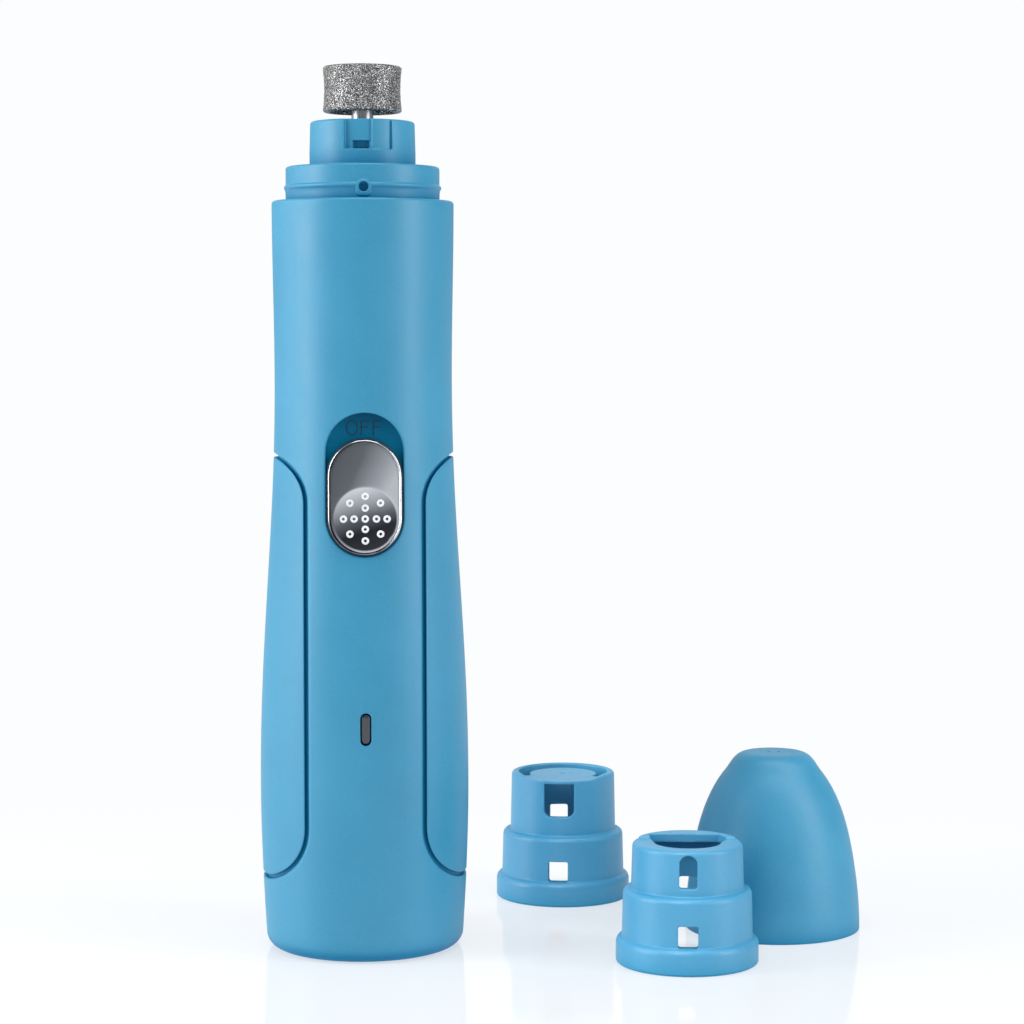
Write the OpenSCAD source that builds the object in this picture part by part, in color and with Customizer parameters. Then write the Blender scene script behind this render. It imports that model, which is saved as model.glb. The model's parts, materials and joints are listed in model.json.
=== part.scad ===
// Cordless pet nail trimmer: a hand-held motor handle with a diamond grinding drum,
// two guard caps and a travel cover. Millimetres. +Z runs up the handle, the switch
// faces -Y (the front), and the origin is the centre of the foot the handle stands on.

/* [Handle body] */
// Height of the handle from the foot to the shoulder
body_h = 130.5; // [130.5:0.5:131]
// Largest radius of the handle, 29 mm above the foot
body_r = 18.3; // [18.2:0.01:18.4]
// Radius of the waist, 100 mm above the foot
waist_r = 15.45; // [15.4:0.01:15.5]
// Radius at the shoulder
shoulder_r = 15.8; // [15.75:0.01:15.85]
// How much the radius tucks in from 29 mm down to the foot
foot_tuck = 1.1; // [1.05:0.01:1.2]
// Radius of the rounded bottom edge
foot_round = 2.6; // [2.5:0.1:2.9]
// Wall thickness of the two shell halves
shell_wall = 2.4; // [2.35:0.05:2.45]

/* [Side grips] */
// Distance from the centre plane to the middle of the groove
groove_x = 10.05; // [10:0.05:10.1]
// Width of the groove around each grip panel
groove_w = 0.65; // [0.6:0.05:0.7]
// Depth of the pocket that each grip panel lies in
pocket_d = 1.35; // [1.3:0.05:1.35]
// Height of the lower end of the groove
grip_z0 = 12.6; // [12.4:0.1:12.8]
// Height of the upper end of the groove
grip_z1 = 86.9; // [86.7:0.1:87]
// Corner radius at the top of the grip panel
grip_top_r = 8.2; // [8:0.1:8.4]
// Corner radius at the bottom of the grip panel
grip_bottom_r = 10.5; // [10:0.1:10.8]

/* [Nose] */
// Radius of the collar that the travel cover pushes onto
collar_r = 13.35; // [13.3:0.01:13.37]
// Height of the collar above the shoulder
collar_h = 5.9; // [5.8:0.1:6]
// Radius of the neck that the guard caps push onto
neck_r = 9.2; // [9.18:0.01:9.22]
// Height of the neck above the collar
neck_h = 7.8; // [7.7:0.1:7.8]

/* [Switch] */
// Width of the recess that the switch button slides in
recess_w = 13; // [12.9:0.1:13.1]
// Height of the lower end of the recess
recess_z0 = 69.9; // [69.8:0.1:69.9]
// Height of the upper end of the recess
recess_z1 = 94.2; // [94.2:0.1:94.4]
// Width of the switch button
button_w = 12.5; // [12.4:0.1:12.5]
// Length of the switch button
button_l = 19.6; // [19.5:0.1:19.6]

/* [Grinding drum] */
// Radius of the drum at its two ends
drum_r = 6.85; // [6.8:0.01:6.9]
// Radius of the drum at its waist
drum_waist_r = 6.62; // [6.55:0.01:6.7]
// Height of the drum
drum_h = 7.9; // [7.8:0.1:8]
// Radius of the steel shank
shank_r = 1.15; // [1.14:0.01:1.16]

/* [Caps and cover] */
// Radius of the bore that grips the neck
cap_bore_r = 9.35; // [9.33:0.01:9.4]
// Radius of the guard caps' flange
cap_flange_r = 12.25; // [12.2:0.01:12.3]
// Height of the slotted guard cap
slotted_h = 24; // [23.8:0.1:24.2]
// Height of the open guard cap
open_h = 21.1; // [21:0.1:21.2]
// Height of the travel cover
cover_h = 32; // [31.8:0.1:32.2]
// Radius of the travel cover at its mouth
cover_r = 15.75; // [15.7:0.01:15.8]
// Radius of the bore in the cover's mouth
cover_bore_r = 13.6; // [13.58:0.01:13.65]

/* [Hidden] */
$fn = 64;

// Colours used by more than one node
blue = "#4f9dc6";
board_green = "#1f6b4a";
screw_steel = "#8c9094";
bright_steel = "#b4b8bb";
lead_red = "#b3282d";
black = "#26282b";

// Heights up the nose
neck_z = body_h + collar_h;          // top of the collar
nose_z = neck_z + neck_h;            // top of the neck
drum_z = nose_z + 1.6;               // lower edge of the drum

// Screws that join the shells, and the bosses they sit in, one entry per height
shell_screw_xs = [-12, 12];
shell_screw_zs = [24, 76];
front_boss_ys = [-9, -7];
rear_boss_ys = [10, 7.5];

// Main circuit board and its screws, posts one entry per height
board_front = -9.6;
board_back = -8.4;
board_screw_xs = [-6, 6];
board_screw_zs = [36, 90];
board_post_ys = [-15.6, -13];

// Foot opening and charging board
foot_hole_r = 12;
foot_floor = 2.4;
charge_pcb_z = 7.3;

// Motor
motor_r = 12.2;
motor_z = 96.1;                      // bottom of the end cap
can_z0 = 98.2;
can_z1 = 126;
motor_screw_xs = [-6, 6];
terminal_xs = [-6.4, 6.4];

// Flange of the nose collar, held in a groove inside the shells
collar_flange = [127, 128.6];
flange_gap = 0.1;
collar_fit = 0.05;
collar_plate_top = 128.2;            // the motor screws' heads rest here

// ---------------------------------------------------------------- profiles and outlines

// Heights at which the handle's profile is taken
wall_zs = [foot_round, 8, 14, 20, 26, 32, 40, 48, 56, 64, 72, 80, 88, 96, 104, 113, 122,
    body_h - 0.6];
grip_zs = [8, 14, 20, 26, 32, 40, 48, 56, 64, 72, 80, 88, 96];
belly_z = 29;
waist_z = 100;

// Cosine blend from one radius to another, part running from 0 to 1
function blend(from, to, part) = from + (to - from) * (1 - cos(180 * part)) / 2;

// Radius of the handle at height z
function handle_r(z) =
    z < belly_z ? body_r - foot_tuck * (1 - cos(90 * (belly_z - z) / belly_z))
    : z < waist_z ? blend(body_r, waist_r, (z - belly_z) / (waist_z - belly_z))
    : blend(waist_r, shoulder_r, (z - waist_z) / (body_h - waist_z));

// Outline of a rounded rectangle
function rounded_rect(left, right, low, high, radius, steps = 8) = [
    for (corner = [[right - radius, high - radius, 0], [left + radius, high - radius, 90],
                   [left + radius, low + radius, 180], [right - radius, low + radius, 270]])
        for (i = [0 : steps])
            [corner[0] + radius * cos(corner[2] + 90 * i / steps),
             corner[1] + radius * sin(corner[2] + 90 * i / steps)]];

// Outline of an upright slot with round ends
function slot(width, low, high, steps = 14) = let (radius = width / 2) concat(
    [for (i = [0 : steps])
        [radius * cos(180 * i / steps), high - radius + radius * sin(180 * i / steps)]],
    [for (i = [0 : steps])
        [-radius * cos(180 * i / steps), low + radius - radius * sin(180 * i / steps)]]);

// Lower edge of an upright slot with rounded corners, from right to left
function slot_foot(half_w, low, radius, steps = 5) = concat(
    [for (i = [0 : steps]) [half_w - radius + radius * cos(90 * i / steps),
                            low + radius - radius * sin(90 * i / steps)]],
    [for (i = [0 : steps]) [-half_w + radius - radius * sin(90 * i / steps),
                            low + radius - radius * cos(90 * i / steps)]]);

// Outline of the +X side panel in front view, inset from the middle of the groove
function panel_outline(inset, steps = 9) =
    let (inner_x = groove_x + inset, high = grip_z1 - inset, low = grip_z0 + inset,
         top_r = grip_top_r, low_r = grip_bottom_r)
    concat([[24, low], [24, high]],
        [for (i = [0 : steps]) [inner_x + top_r - top_r * sin(90 * i / steps),
                                high - top_r + top_r * cos(90 * i / steps)]],
        [for (i = [0 : steps]) [inner_x + low_r - low_r * cos(90 * i / steps),
                                low + low_r - low_r * sin(90 * i / steps)]]);

// ---------------------------------------------------------------- basic shapes

// Gives a front-view outline (x, z) depth from y0 to y1
module front_prism(outline, y0, y1) {
    translate([0, y1, 0]) rotate([90, 0, 0]) linear_extrude(height = y1 - y0) polygon(outline);
}

// A ring about Z, part of a turn
module ring(inner_r, outer_r, z0, z1, start = 0, sweep = 360) {
    if (sweep >= 360) difference() {
        translate([0, 0, z0]) cylinder(r = outer_r, h = z1 - z0);
        translate([0, 0, z0 - 1]) cylinder(r = inner_r, h = z1 - z0 + 2);
    }
    else rotate([0, 0, start]) rotate_extrude(angle = sweep)
        translate([inner_r, z0]) square([outer_r - inner_r, z1 - z0]);
}

module rod(radius, z0, z1, x = 0) {
    translate([x, 0, z0]) cylinder(r = radius, h = z1 - z0);
}

module y_rod(radius, y0, y1, x, z) {
    translate([x, y1, z]) rotate([90, 0, 0]) cylinder(r = radius, h = y1 - y0);
}

// A block, each argument being its [low, high] span on that axis
module box(x, y, z) {
    translate([x[0], y[0], z[0]]) cube([x[1] - x[0], y[1] - y[0], z[1] - z[0]]);
}

// A wire between two points, with a ball at its far end to make the bend
module wire(start, end, radius, ball) {
    run = end - start;
    length = norm(run);
    translate(start) rotate([0, acos(run[2] / length), atan2(run[1], run[0])])
        cylinder(r = radius, h = length, $fn = 20);
    if (ball) translate(end) sphere(r = radius * 1.06, $fn = 20);
}

module wire_run(points, radius) {
    for (i = [0 : len(points) - 2])
        wire(points[i], points[i + 1], radius, i < len(points) - 2);
}

// ---------------------------------------------------------------- handle shells

// Wall of the rear (+Y) half
module half_wall() {
    last = len(wall_zs) - 1;
    groove = [collar_flange[0] - flange_gap, collar_flange[1] + flange_gap];
    mouth_r = collar_r + collar_fit;
    groove_r = 14.4;
    rotate_extrude(angle = 180, $fn = 96) polygon(concat(
        [[foot_hole_r, 0]],
        [for (i = [0 : 6]) [handle_r(foot_round) - foot_round * (1 - sin(90 * i / 6)),
                            foot_round * (1 - cos(90 * i / 6))]],
        [for (i = [1 : last]) [handle_r(wall_zs[i]), wall_zs[i]]],
        [[shoulder_r - 0.18, body_h - 0.18], [shoulder_r - 0.6, body_h], [mouth_r, body_h],
         [mouth_r, groove[1]], [groove_r, groove[1]],
         [groove_r, groove[0]], [mouth_r, groove[0]]],
        [for (i = [last - 1 : -1 : 1]) [handle_r(wall_zs[i]) - shell_wall, wall_zs[i]]],
        [[handle_r(foot_floor) - shell_wall, foot_floor], [foot_hole_r, foot_floor]]));
}

// One rib under the motor and two around its can
module motor_ribs() {
    rotate_extrude(angle = 180, $fn = 96) union() {
        translate([10.4, 94.2]) square([2.9, 1.9]);
        translate([12.25, 100]) square([1.2, 1.8]);
        translate([12.25, 120]) square([1.4, 1.8]);
    }
}

// Profile along the bottom of a grip pocket, raised by a gap
function pocket_floor(gap) = [for (z = grip_zs) [handle_r(z) - pocket_d + gap, z]];

// The part of a turned band that lies inside the +X panel outline
module side_band(profile, inset) {
    intersection() {
        rotate([0, 0, -75]) rotate_extrude(angle = 150, $fn = 96) polygon(profile);
        front_prism(panel_outline(inset), -24, 24);
    }
}

module grip_pockets() {
    for (side = [0, 1]) mirror([side, 0, 0])
        side_band(concat(pocket_floor(0), [[22, 96], [22, 8]]), -groove_w / 2);
}

module front_shell() {
    recess_floor_y = -13.3;
    color(blue) difference() {
        union() {
            rotate([0, 0, 180]) half_wall();
            rotate([0, 0, 180]) motor_ribs();
            // tub behind the switch recess
            front_prism(slot(15.4, 68.7, 95.4), -14.4, -12);
            // posts for the circuit board
            for (x = board_screw_xs) for (i = [0, 1])
                y_rod(1.8, board_post_ys[i], board_front, x, board_screw_zs[i]);
            // screw bosses
            for (x = shell_screw_xs) for (i = [0, 1])
                y_rod(2.6, front_boss_ys[i], 0, x, shell_screw_zs[i]);
        }
        front_prism(slot(recess_w, recess_z0, recess_z1), -22, recess_floor_y);
        // slot for the switch carrier, then the window for the LED lens
        front_prism(slot(5, 75, 89.4), -14, -11);
        front_prism(slot(1.86, 37.8, 43.35), -22, -10);
        grip_pockets();
        // screw holes
        for (x = board_screw_xs) for (z = board_screw_zs) y_rod(0.8, -12.6, -9, x, z);
        for (x = shell_screw_xs) for (z = shell_screw_zs) y_rod(0.95, -5, 1, x, z);
    }
}

module rear_shell() {
    color(blue) difference() {
        union() {
            half_wall();
            motor_ribs();
            for (x = shell_screw_xs) for (i = [0, 1])
                y_rod(2.6, 0, rear_boss_ys[i], x, shell_screw_zs[i]);
        }
        grip_pockets();
        // screw holes, wider behind the seat of the head
        for (x = shell_screw_xs) for (z = shell_screw_zs) {
            y_rod(1.1, -1, 5, x, z);
            y_rod(1.8, 4, 20, x, z);
        }
    }
}

module grip_panel() {
    skin = [for (i = [len(grip_zs) - 1 : -1 : 0]) [handle_r(grip_zs[i]) - 0.02, grip_zs[i]]];
    side_band(concat(pocket_floor(0.05), skin), groove_w / 2);
}

module grip_right() {
    color(blue) grip_panel();
}

module grip_left() {
    color(blue) mirror([1, 0, 0]) grip_panel();
}

module base_plug() {
    plate_top = 3.6;
    color(blue) difference() {
        union() {
            rod(foot_hole_r - 0.1, 0, foot_floor);
            rod(13.8, foot_floor, plate_top);
            ring(8.8, 10.2, plate_top, charge_pcb_z);
        }
        // opening for the socket
        translate([0, 0, -1]) linear_extrude(height = 6)
            polygon(rounded_rect(-4.7, 4.7, -1.8, 1.8, 1.5));
    }
}

module shell_screws() {
    color(screw_steel) for (x = shell_screw_xs) for (z = shell_screw_zs) {
        y_rod(0.95, -4.5, 4, x, z);
        difference() {
            y_rod(1.65, 4, 5.4, x, z);
            y_rod(0.7, 4.8, 6, x, z, $fn = 6);
        }
    }
}

// ---------------------------------------------------------------- charging and control

module usb_socket_shell() {
    color("#b9bec2") difference() {
        translate([0, 0, 0.3]) linear_extrude(height = 7)
            polygon(rounded_rect(-4.5, 4.5, -1.62, 1.62, 1.3));
        translate([0, 0, -1]) linear_extrude(height = 7.2)
            polygon(rounded_rect(-4.2, 4.2, -1.32, 1.32, 1.1));
    }
}

module usb_socket_tongue() {
    color("#1d1f21") box([-3.35, 3.35], [-0.35, 0.35], [1.4, 6.2]);
}

module charge_pcb() {
    color(board_green) rod(11, charge_pcb_z, 8.5);
}

module main_pcb() {
    color(board_green) difference() {
        box([-8, 8], [board_front, board_back], [33, 93]);
        for (x = board_screw_xs) for (z = board_screw_zs) y_rod(0.9, -10, -8, x, z);
    }
}

// Parts on the front of the board: left x, right x, front y, lower z, upper z
components = [
    [-2.5, 2.5, -10.9, 48, 53],
    [3.4, 6.4, -10.7, 55, 58.4],
    [-6.2, -3.6, -10.6, 56, 59],
    [-1.6, 1.6, -10.6, 60.5, 62.1],
    [2.8, 4.4, -10.4, 64, 64.9],
    [-4.6, -3, -10.4, 64, 64.9],
    [-6.4, -4.8, -10.4, 50, 50.9],
    [4.9, 6.5, -10.4, 50, 50.9]];

module pcb_components() {
    color("#2b2d30") for (part = components)
        box([part[0], part[1]], [part[2], board_front], [part[3], part[4]]);
}

module pcb_screws() {
    color("#a4a8ac") for (x = board_screw_xs) for (z = board_screw_zs) {
        y_rod(0.8, -12.5, board_back, x, z);
        difference() {
            y_rod(1.5, board_back, -7.7, x, z);
            y_rod(0.55, -8, -7, x, z, $fn = 6);
        }
    }
}

module slide_switch_body() {
    color("#a9adb1") difference() {
        box([-2.2, 2.2], [-10.65, board_front], [76.2, 88.4]);
        box([-0.8, 0.8], [-11, -9.8], [79, 86.1]);
    }
}

module status_led() {
    color("#e8ecd8") box([-0.8, 0.8], [-10.7, board_front], [39.6, 41.6]);
}

// Light pipe with a flange inside the shell
module led_lens() {
    color("#20262c") union() {
        front_prism(slot(1.5, 38.1, 43.1), -17.98, -10.9);
        front_prism(slot(4, 36.6, 44.6), -15.2, -14.4);
    }
}

// ---------------------------------------------------------------- battery

battery_y = 1.2;
cell_r = 9;
cell_z0 = 12.2;
cell_z1 = 61.8;
terminal_z = 62.8;                   // top of the raised terminal
tab_t = 0.2;

module battery_cell() {
    color("#9da3a8") translate([0, battery_y, 0]) union() {
        rod(cell_r, cell_z0, cell_z1);
        rod(3.2, cell_z1, terminal_z);
    }
}

// Sleeve that turns in over both ends of the cell
module battery_wrap() {
    color("#3a6fb0") translate([0, battery_y, 0]) difference() {
        rod(cell_r + 0.15, 12, 62);
        rod(cell_r, cell_z0, cell_z1);
        rod(6.6, 11, 63);
    }
}

module battery_tabs() {
    color("#c8ccd0") for (z = [terminal_z, cell_z0 - tab_t])
        box([-2.5, 2.5], [-4.2, 3.4], [z, z + tab_t]);
}

module battery_leads() {
    color(lead_red)
        wire_run([[1, -3.4, 63], [1, -3.4, 66], [2, -7.4, 70], [2, board_back, 70]], 0.6);
    color(black)
        wire_run([[-1, -3, 12], [-1, -3, 10.6], [-7.3, -6.7, 10.6], [-7.3, -6.7, 45],
                  [-7.3, board_back, 45]], 0.6);
}

// ---------------------------------------------------------------- motor

bush_r = 2.2;
bush_bore_r = 1.02;

module motor_can() {
    color(bright_steel) difference() {
        union() {
            rod(motor_r, can_z0, can_z1);
            rod(3, can_z1, 128);
        }
        rod(11.4, 97, 124.8);
        rod(bush_r, 124, 129);
        for (x = motor_screw_xs) rod(0.95, 124, 127, x);
    }
}

module motor_end_cap() {
    color(black) difference() {
        union() {
            rod(motor_r, motor_z, can_z0);
            rod(3.4, 94.8, motor_z);
        }
        rod(bush_r, 94, 99);
        for (x = terminal_xs) box([x - 0.25, x + 0.25], [-1.2, 1.2], [95, 99]);
    }
}

module motor_terminals() {
    color("#c99a4b") for (x = terminal_xs) box([x - 0.25, x + 0.25], [-1.2, 1.2], [92, 99]);
}

module motor_magnets() {
    color("#54585c") for (start = [30, 210]) ring(9, 11.4, 102, 122, start, 120);
}

module motor_front_bush() {
    color("#b98a4a") ring(bush_bore_r, bush_r, 124.8, 127.9);
}

module motor_rear_bush() {
    color("#b98a4a") ring(bush_bore_r, bush_r, 94.9, 98.1);
}

// Each brush has a holder strip on its outer side
module motor_brushes() {
    color("#6b4a2c") for (side = [0, 1]) mirror([side, 0, 0]) union() {
        box([3.06, 4.6], [-0.9, 0.9], [99.6, 101.4]);
        box([4.6, 5], [-0.9, 0.9], [98.2, 101.4]);
    }
}

module motor_screws() {
    color(screw_steel) for (x = motor_screw_xs) {
        rod(0.95, 125, collar_plate_top, x);
        difference() {
            rod(1.7, collar_plate_top, 129.4, x);
            translate([x, 0, 128.8]) cylinder(r = 0.7, h = 2, $fn = 6);
        }
    }
}

module motor_leads() {
    color(lead_red) wire_run(
        [[6.4, -1.2, 92.8], [6.4, -4, 92.8], [5, -6.6, 86], [5, board_back, 86]], 0.5);
    color(black) wire_run(
        [[-6.4, -1.2, 92.8], [-6.4, -4, 92.8], [-5, -6.6, 82], [-5, board_back, 82]], 0.5);
}

// ---------------------------------------------------------------- nose

// Channels in the neck, open at the top; the front has a shallow one and a pit as well
module snap_recess(back = false) {
    channel_z = neck_z + 2.55;
    mirror([0, back ? 1 : 0, 0]) {
        intersection() {
            ring(neck_r - 0.7, 11, channel_z, nose_z + 1);
            box([-3.3, 1.65], [-11, 0], [neck_z + 2, nose_z + 1]);
        }
        if (!back) {
            intersection() {
                ring(neck_r - 0.35, 11, channel_z, nose_z + 1);
                box([1.64, 4.95], [-11, 0], [neck_z + 2, nose_z + 1]);
            }
            translate([0, -7.95, 0]) rotate([90, 0, 0]) linear_extrude(height = 3)
                polygon([[-2, 139.1], [1.27, 139.1], [1.4, 140.4], [-1.85, 140.4]]);
        }
    }
}

// Half section of the collar and neck: radius, height
collar_profile = [
    [3.1, 126.05], [13.3, 126.05], [13.3, collar_flange[0]], [14.3, collar_flange[0]],
    [14.3, collar_flange[1]], [13.3, collar_flange[1]], [13.3, body_h], [collar_r, body_h],
    // raised bead that holds the travel cover
    [collar_r, 132.15], [collar_r + 0.2, 132.45], [collar_r + 0.2, 132.75], [collar_r, 133.05],
    [collar_r, neck_z - 0.5], [collar_r - 0.15, neck_z - 0.15], [collar_r - 0.5, neck_z],
    [neck_r, neck_z], [neck_r, neck_z + 2.35], [neck_r - 0.15, nose_z - 0.45],
    [neck_r - 0.25, nose_z - 0.15], [neck_r - 0.5, nose_z],
    // inside, from the top down
    [3, nose_z], [3, nose_z - 1.3], [7.5, nose_z - 1.3], [7.5, neck_z - 1.5],
    [11.9, neck_z - 1.5], [11.9, collar_plate_top], [3.1, collar_plate_top]];

module nose_collar() {
    eyelet_z = 132.3;
    color(blue) difference() {
        union() {
            rotate_extrude($fn = 96) polygon(collar_profile);
            y_rod(1.3, -13.5, -12.6, 0, eyelet_z);
        }
        y_rod(0.87, -14, -12.4, 0, eyelet_z);
        for (x = motor_screw_xs) rod(1, 125, 129, x);
        snap_recess();
        snap_recess(true);
    }
}

module dust_seal() {
    color("#3b3d40") ring(2.15, 5.2, 141.6, nose_z - 1.3);
}

// ---------------------------------------------------------------- spindle

shaft_r = 1;
shaft_top = 137;
set_screw_r = 1.2;
set_screw_z = 134;

module motor_shaft() {
    color("#c4c8cb") rod(shaft_r, 94.4, shaft_top);
}

// Three arms, each with a curved shoe
module rotor_core() {
    color("#7f868c") difference() {
        translate([0, 0, 104]) linear_extrude(height = 14) union() {
            circle(r = 3.2);
            for (turn = [0, 120, 240]) rotate(turn) {
                translate([0, -1.6]) square([7.6, 3.2]);
                difference() {
                    intersection() {
                        circle(r = 8.4);
                        polygon([[0, 0], [12, -13.2], [20, -13.2], [20, 13.2], [12, 13.2]]);
                    }
                    circle(r = 6.9);
                }
            }
        }
        rod(shaft_r, 100, 120);
    }
}

module rotor_windings() {
    color("#b5651d") for (turn = [0, 120, 240]) rotate([0, 0, turn]) difference() {
        box([3.5, 6.2], [-2.9, 2.9], [102.6, 119.4]);
        box([3.4, 6.8], [-1.6, 1.6], [104, 118]);
    }
}

module commutator() {
    color("#b87333") difference() {
        rod(3, 99.2, 102.2);
        rod(shaft_r, 99, 103);
        for (turn = [60, 180, 300]) rotate([0, 0, turn]) box([2, 4], [-0.2, 0.2], [99, 103]);
    }
}

module shaft_coupler() {
    color("#9ea2a6") difference() {
        union() {
            rod(3, 131, 141);
            rod(1.9, 141, 146.5);
        }
        rod(shaft_r, 130, shaft_top);
        rod(shank_r + 0.02, shaft_top, 147);
        translate([0, 0, set_screw_z]) rotate([0, 90, 0]) cylinder(r = set_screw_r, h = 4);
    }
}

module coupler_set_screw() {
    color("#2f3134") translate([0, 0, set_screw_z]) rotate([0, 90, 0]) difference() {
        translate([0, 0, 1.3]) cylinder(r = set_screw_r, h = 1.5);
        translate([0, 0, 2.2]) cylinder(r = 0.6, h = 2, $fn = 6);
    }
}

// ---------------------------------------------------------------- bit

shank_top = drum_z + 7.3;
core_r = 5.85;

module bit_shank() {
    color(bright_steel) rod(shank_r, 137.1, shank_top);
}

module drum_core() {
    color("#6f7376") difference() {
        union() {
            rod(core_r, drum_z + 3.4, drum_z + drum_h - 0.25);
            rod(2.6, drum_z + 2.2, drum_z + 3.5);
        }
        rod(shank_r, drum_z, shank_top);
    }
}

// Sleeve with a slightly waisted outside
module diamond_sleeve() {
    top = drum_z + drum_h;
    color("#8e8e90") rotate_extrude($fn = 96) polygon(concat(
        [[core_r, drum_z + 0.2], [6.05, drum_z], [drum_r - 0.45, drum_z],
         [drum_r - 0.12, drum_z + 0.13]],
        [for (i = [0 : 10]) [drum_waist_r + (drum_r - drum_waist_r) * pow(abs(i - 5) / 5, 2),
                             drum_z + 0.45 + (drum_h - 0.9) * i / 10]],
        [[drum_r - 0.12, top - 0.13], [drum_r - 0.45, top], [6.05, top],
         [core_r, top - 0.2]]));
}

// ---------------------------------------------------------------- switch

button_z0 = recess_z0 + 0.2;
button_z1 = button_z0 + button_l;
bezel_w = 0.45;
face_tilt = -2.6;                    // the switch face follows the taper
face_y = -16.5;
face_z = button_z0 + button_l / 2;
dish_y = -3.63;                      // centre of the thumb dish on the switch face

// Places a shape on the tilted switch face: x across, y up the handle, z outwards
module on_face() {
    translate([0, face_y, face_z]) rotate([face_tilt, 0, 0]) rotate([90, 0, 0]) children();
}

// Cuts off everything further out than the given height above the face
module face_cut(height) {
    on_face() translate([-20, -20, height]) cube([40, 40, 8]);
}

function button_outline(inset) =
    slot(button_w - 2 * inset, button_z0 + inset, button_z1 - inset);

module switch_bezel() {
    color("#c9ccd0") difference() {
        front_prism(button_outline(0), -19, -13.5);
        front_prism(button_outline(bezel_w), -22, -13);
        face_cut(0);
    }
}

module switch_button() {
    color("#5a5e64") difference() {
        front_prism(button_outline(bezel_w), -19, -13.5);
        face_cut(-0.15);
        on_face() translate([0, dish_y, -0.5]) cylinder(r = 5.6, h = 4);
    }
}

// Centres of the dots, across and up from the centre of the dish
dots = [[0, 0], [-1.9, 0], [-3.7, 0], [1.9, 0], [3.7, 0],
    [0, 1.85], [0, 3.85], [0, -1.75], [0, -3.7],
    [-2.6, 2.7], [2.6, 2.7], [-2.6, -2.55], [2.6, -2.55]];

module switch_dots() {
    color("#dfe3e6") for (dot = dots)
        on_face() translate([dot[0], dot[1] + dish_y, -0.5]) cylinder(r = 0.66, h = 0.4, $fn = 24);
}

// Plate behind the recess, with a stem to the button and two fingers for the actuator
module switch_carrier() {
    color("#e4e4e0") union() {
        box([-3.6, 3.6], [-11.9, -11.3], [72, 88]);
        box([-2.2, 2.2], [-13.5, -11.8], [77.5, 83.5]);
        box([-1, 1], [-11.4, -10.75], [77.9, 79]);
        box([-1, 1], [-11.4, -10.75], [81.7, 82.8]);
    }
}

module switch_actuator() {
    color("#2b2d30") union() {
        box([-1, 1], [-11.25, -10.7], [79.05, 81.65]);
        box([-0.6, 0.6], [-10.8, -9.9], [79.3, 81.4]);
    }
}

// ---------------------------------------------------------------- guard caps and cover

// Where the loose parts stand beside the handle
slotted_pos = [38.6, 38.5, 0];
open_pos = [55, -17.8, 0];
cover_pos = [74, 8.3, 0];

cap_scale = cap_flange_r / 11.9;     // cap sizes are set for a flange of radius 11.9
cap_in = 8.15;                       // inside radius of a guard cap above the bore
slotted_plate_z = slotted_h - 1.1;

// Wall of a guard cap: flange, middle and upper step, with the bore that grips the neck
module cap_wall(height) {
    lower = concat([[11.6, 0], [11.9, 0.3], [11.9, 3.2]],
        [for (i = [1 : 4]) [10.95 + 0.95 * cos(90 * i / 4), 3.2 + 1.2 * sin(90 * i / 4)]],
        [[10.72, 11.7], [10.55, 12.25], [10.1, 12.5], [9.42, 12.5]]);
    upper_r = cap_scale * 9.2;
    rim = 0.7;
    bore_top = cap_scale * 11.2;
    rotate_extrude($fn = 96) polygon(concat(
        [[cap_bore_r, 0]],
        [for (point = lower) cap_scale * point],
        [[upper_r, height - rim]],
        [for (i = [1 : 4]) [upper_r - rim + rim * cos(90 * i / 4),
                            height - rim + rim * sin(90 * i / 4)]],
        [[cap_in, height], [cap_in, bore_top], [cap_bore_r, bore_top]]));
}

// A small snap nub at the front of the bore
module cap_nub() {
    intersection() {
        ring(9.15, 9.6, 2.8, 3.9);
        box([-1.3, 1.3], [-12, 0], [2, 5]);
    }
}

module cap_slotted_shape() {
    difference() {
        union() {
            cap_wall(slotted_h);
            cap_nub();
            // thin top disc, joined to the wall by a wedge at the front
            translate([0, 0, slotted_plate_z]) linear_extrude(height = 0.55) union() {
                circle(r = cap_scale * 5.9);
                intersection() {
                    circle(r = 8.6);
                    polygon([[0, 0], [-18.1, -8.45], [-18.1, -20], [18.1, -20], [18.1, -8.45]]);
                }
            }
        }
        // low front window and back notch
        front_prism(rounded_rect(-1.72, 1.72, 4.6, 8.4, 0.25, 2), -14, -7);
        box([-3.9, 0.7], [7, 14], [-1, 4.6]);
        // upper front slot, open through the rim
        front_prism(concat(slot_foot(2.7, 16.6, 1.1),
            [[-2.7, slotted_plate_z], [2.7, slotted_plate_z]]), -12, -6.7);
        box([-2.7, 2.7], [-12, -8.55], [slotted_h - 1.2, slotted_h + 1]);
        // back window, and a dimple in the middle of the disc
        front_prism(rounded_rect(-3.05, 0.25, 12.5, 15.9, 0.25, 2), 6.5, 12.4);
        rod(0.45, slotted_h - 0.8, slotted_h);
    }
}

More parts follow.
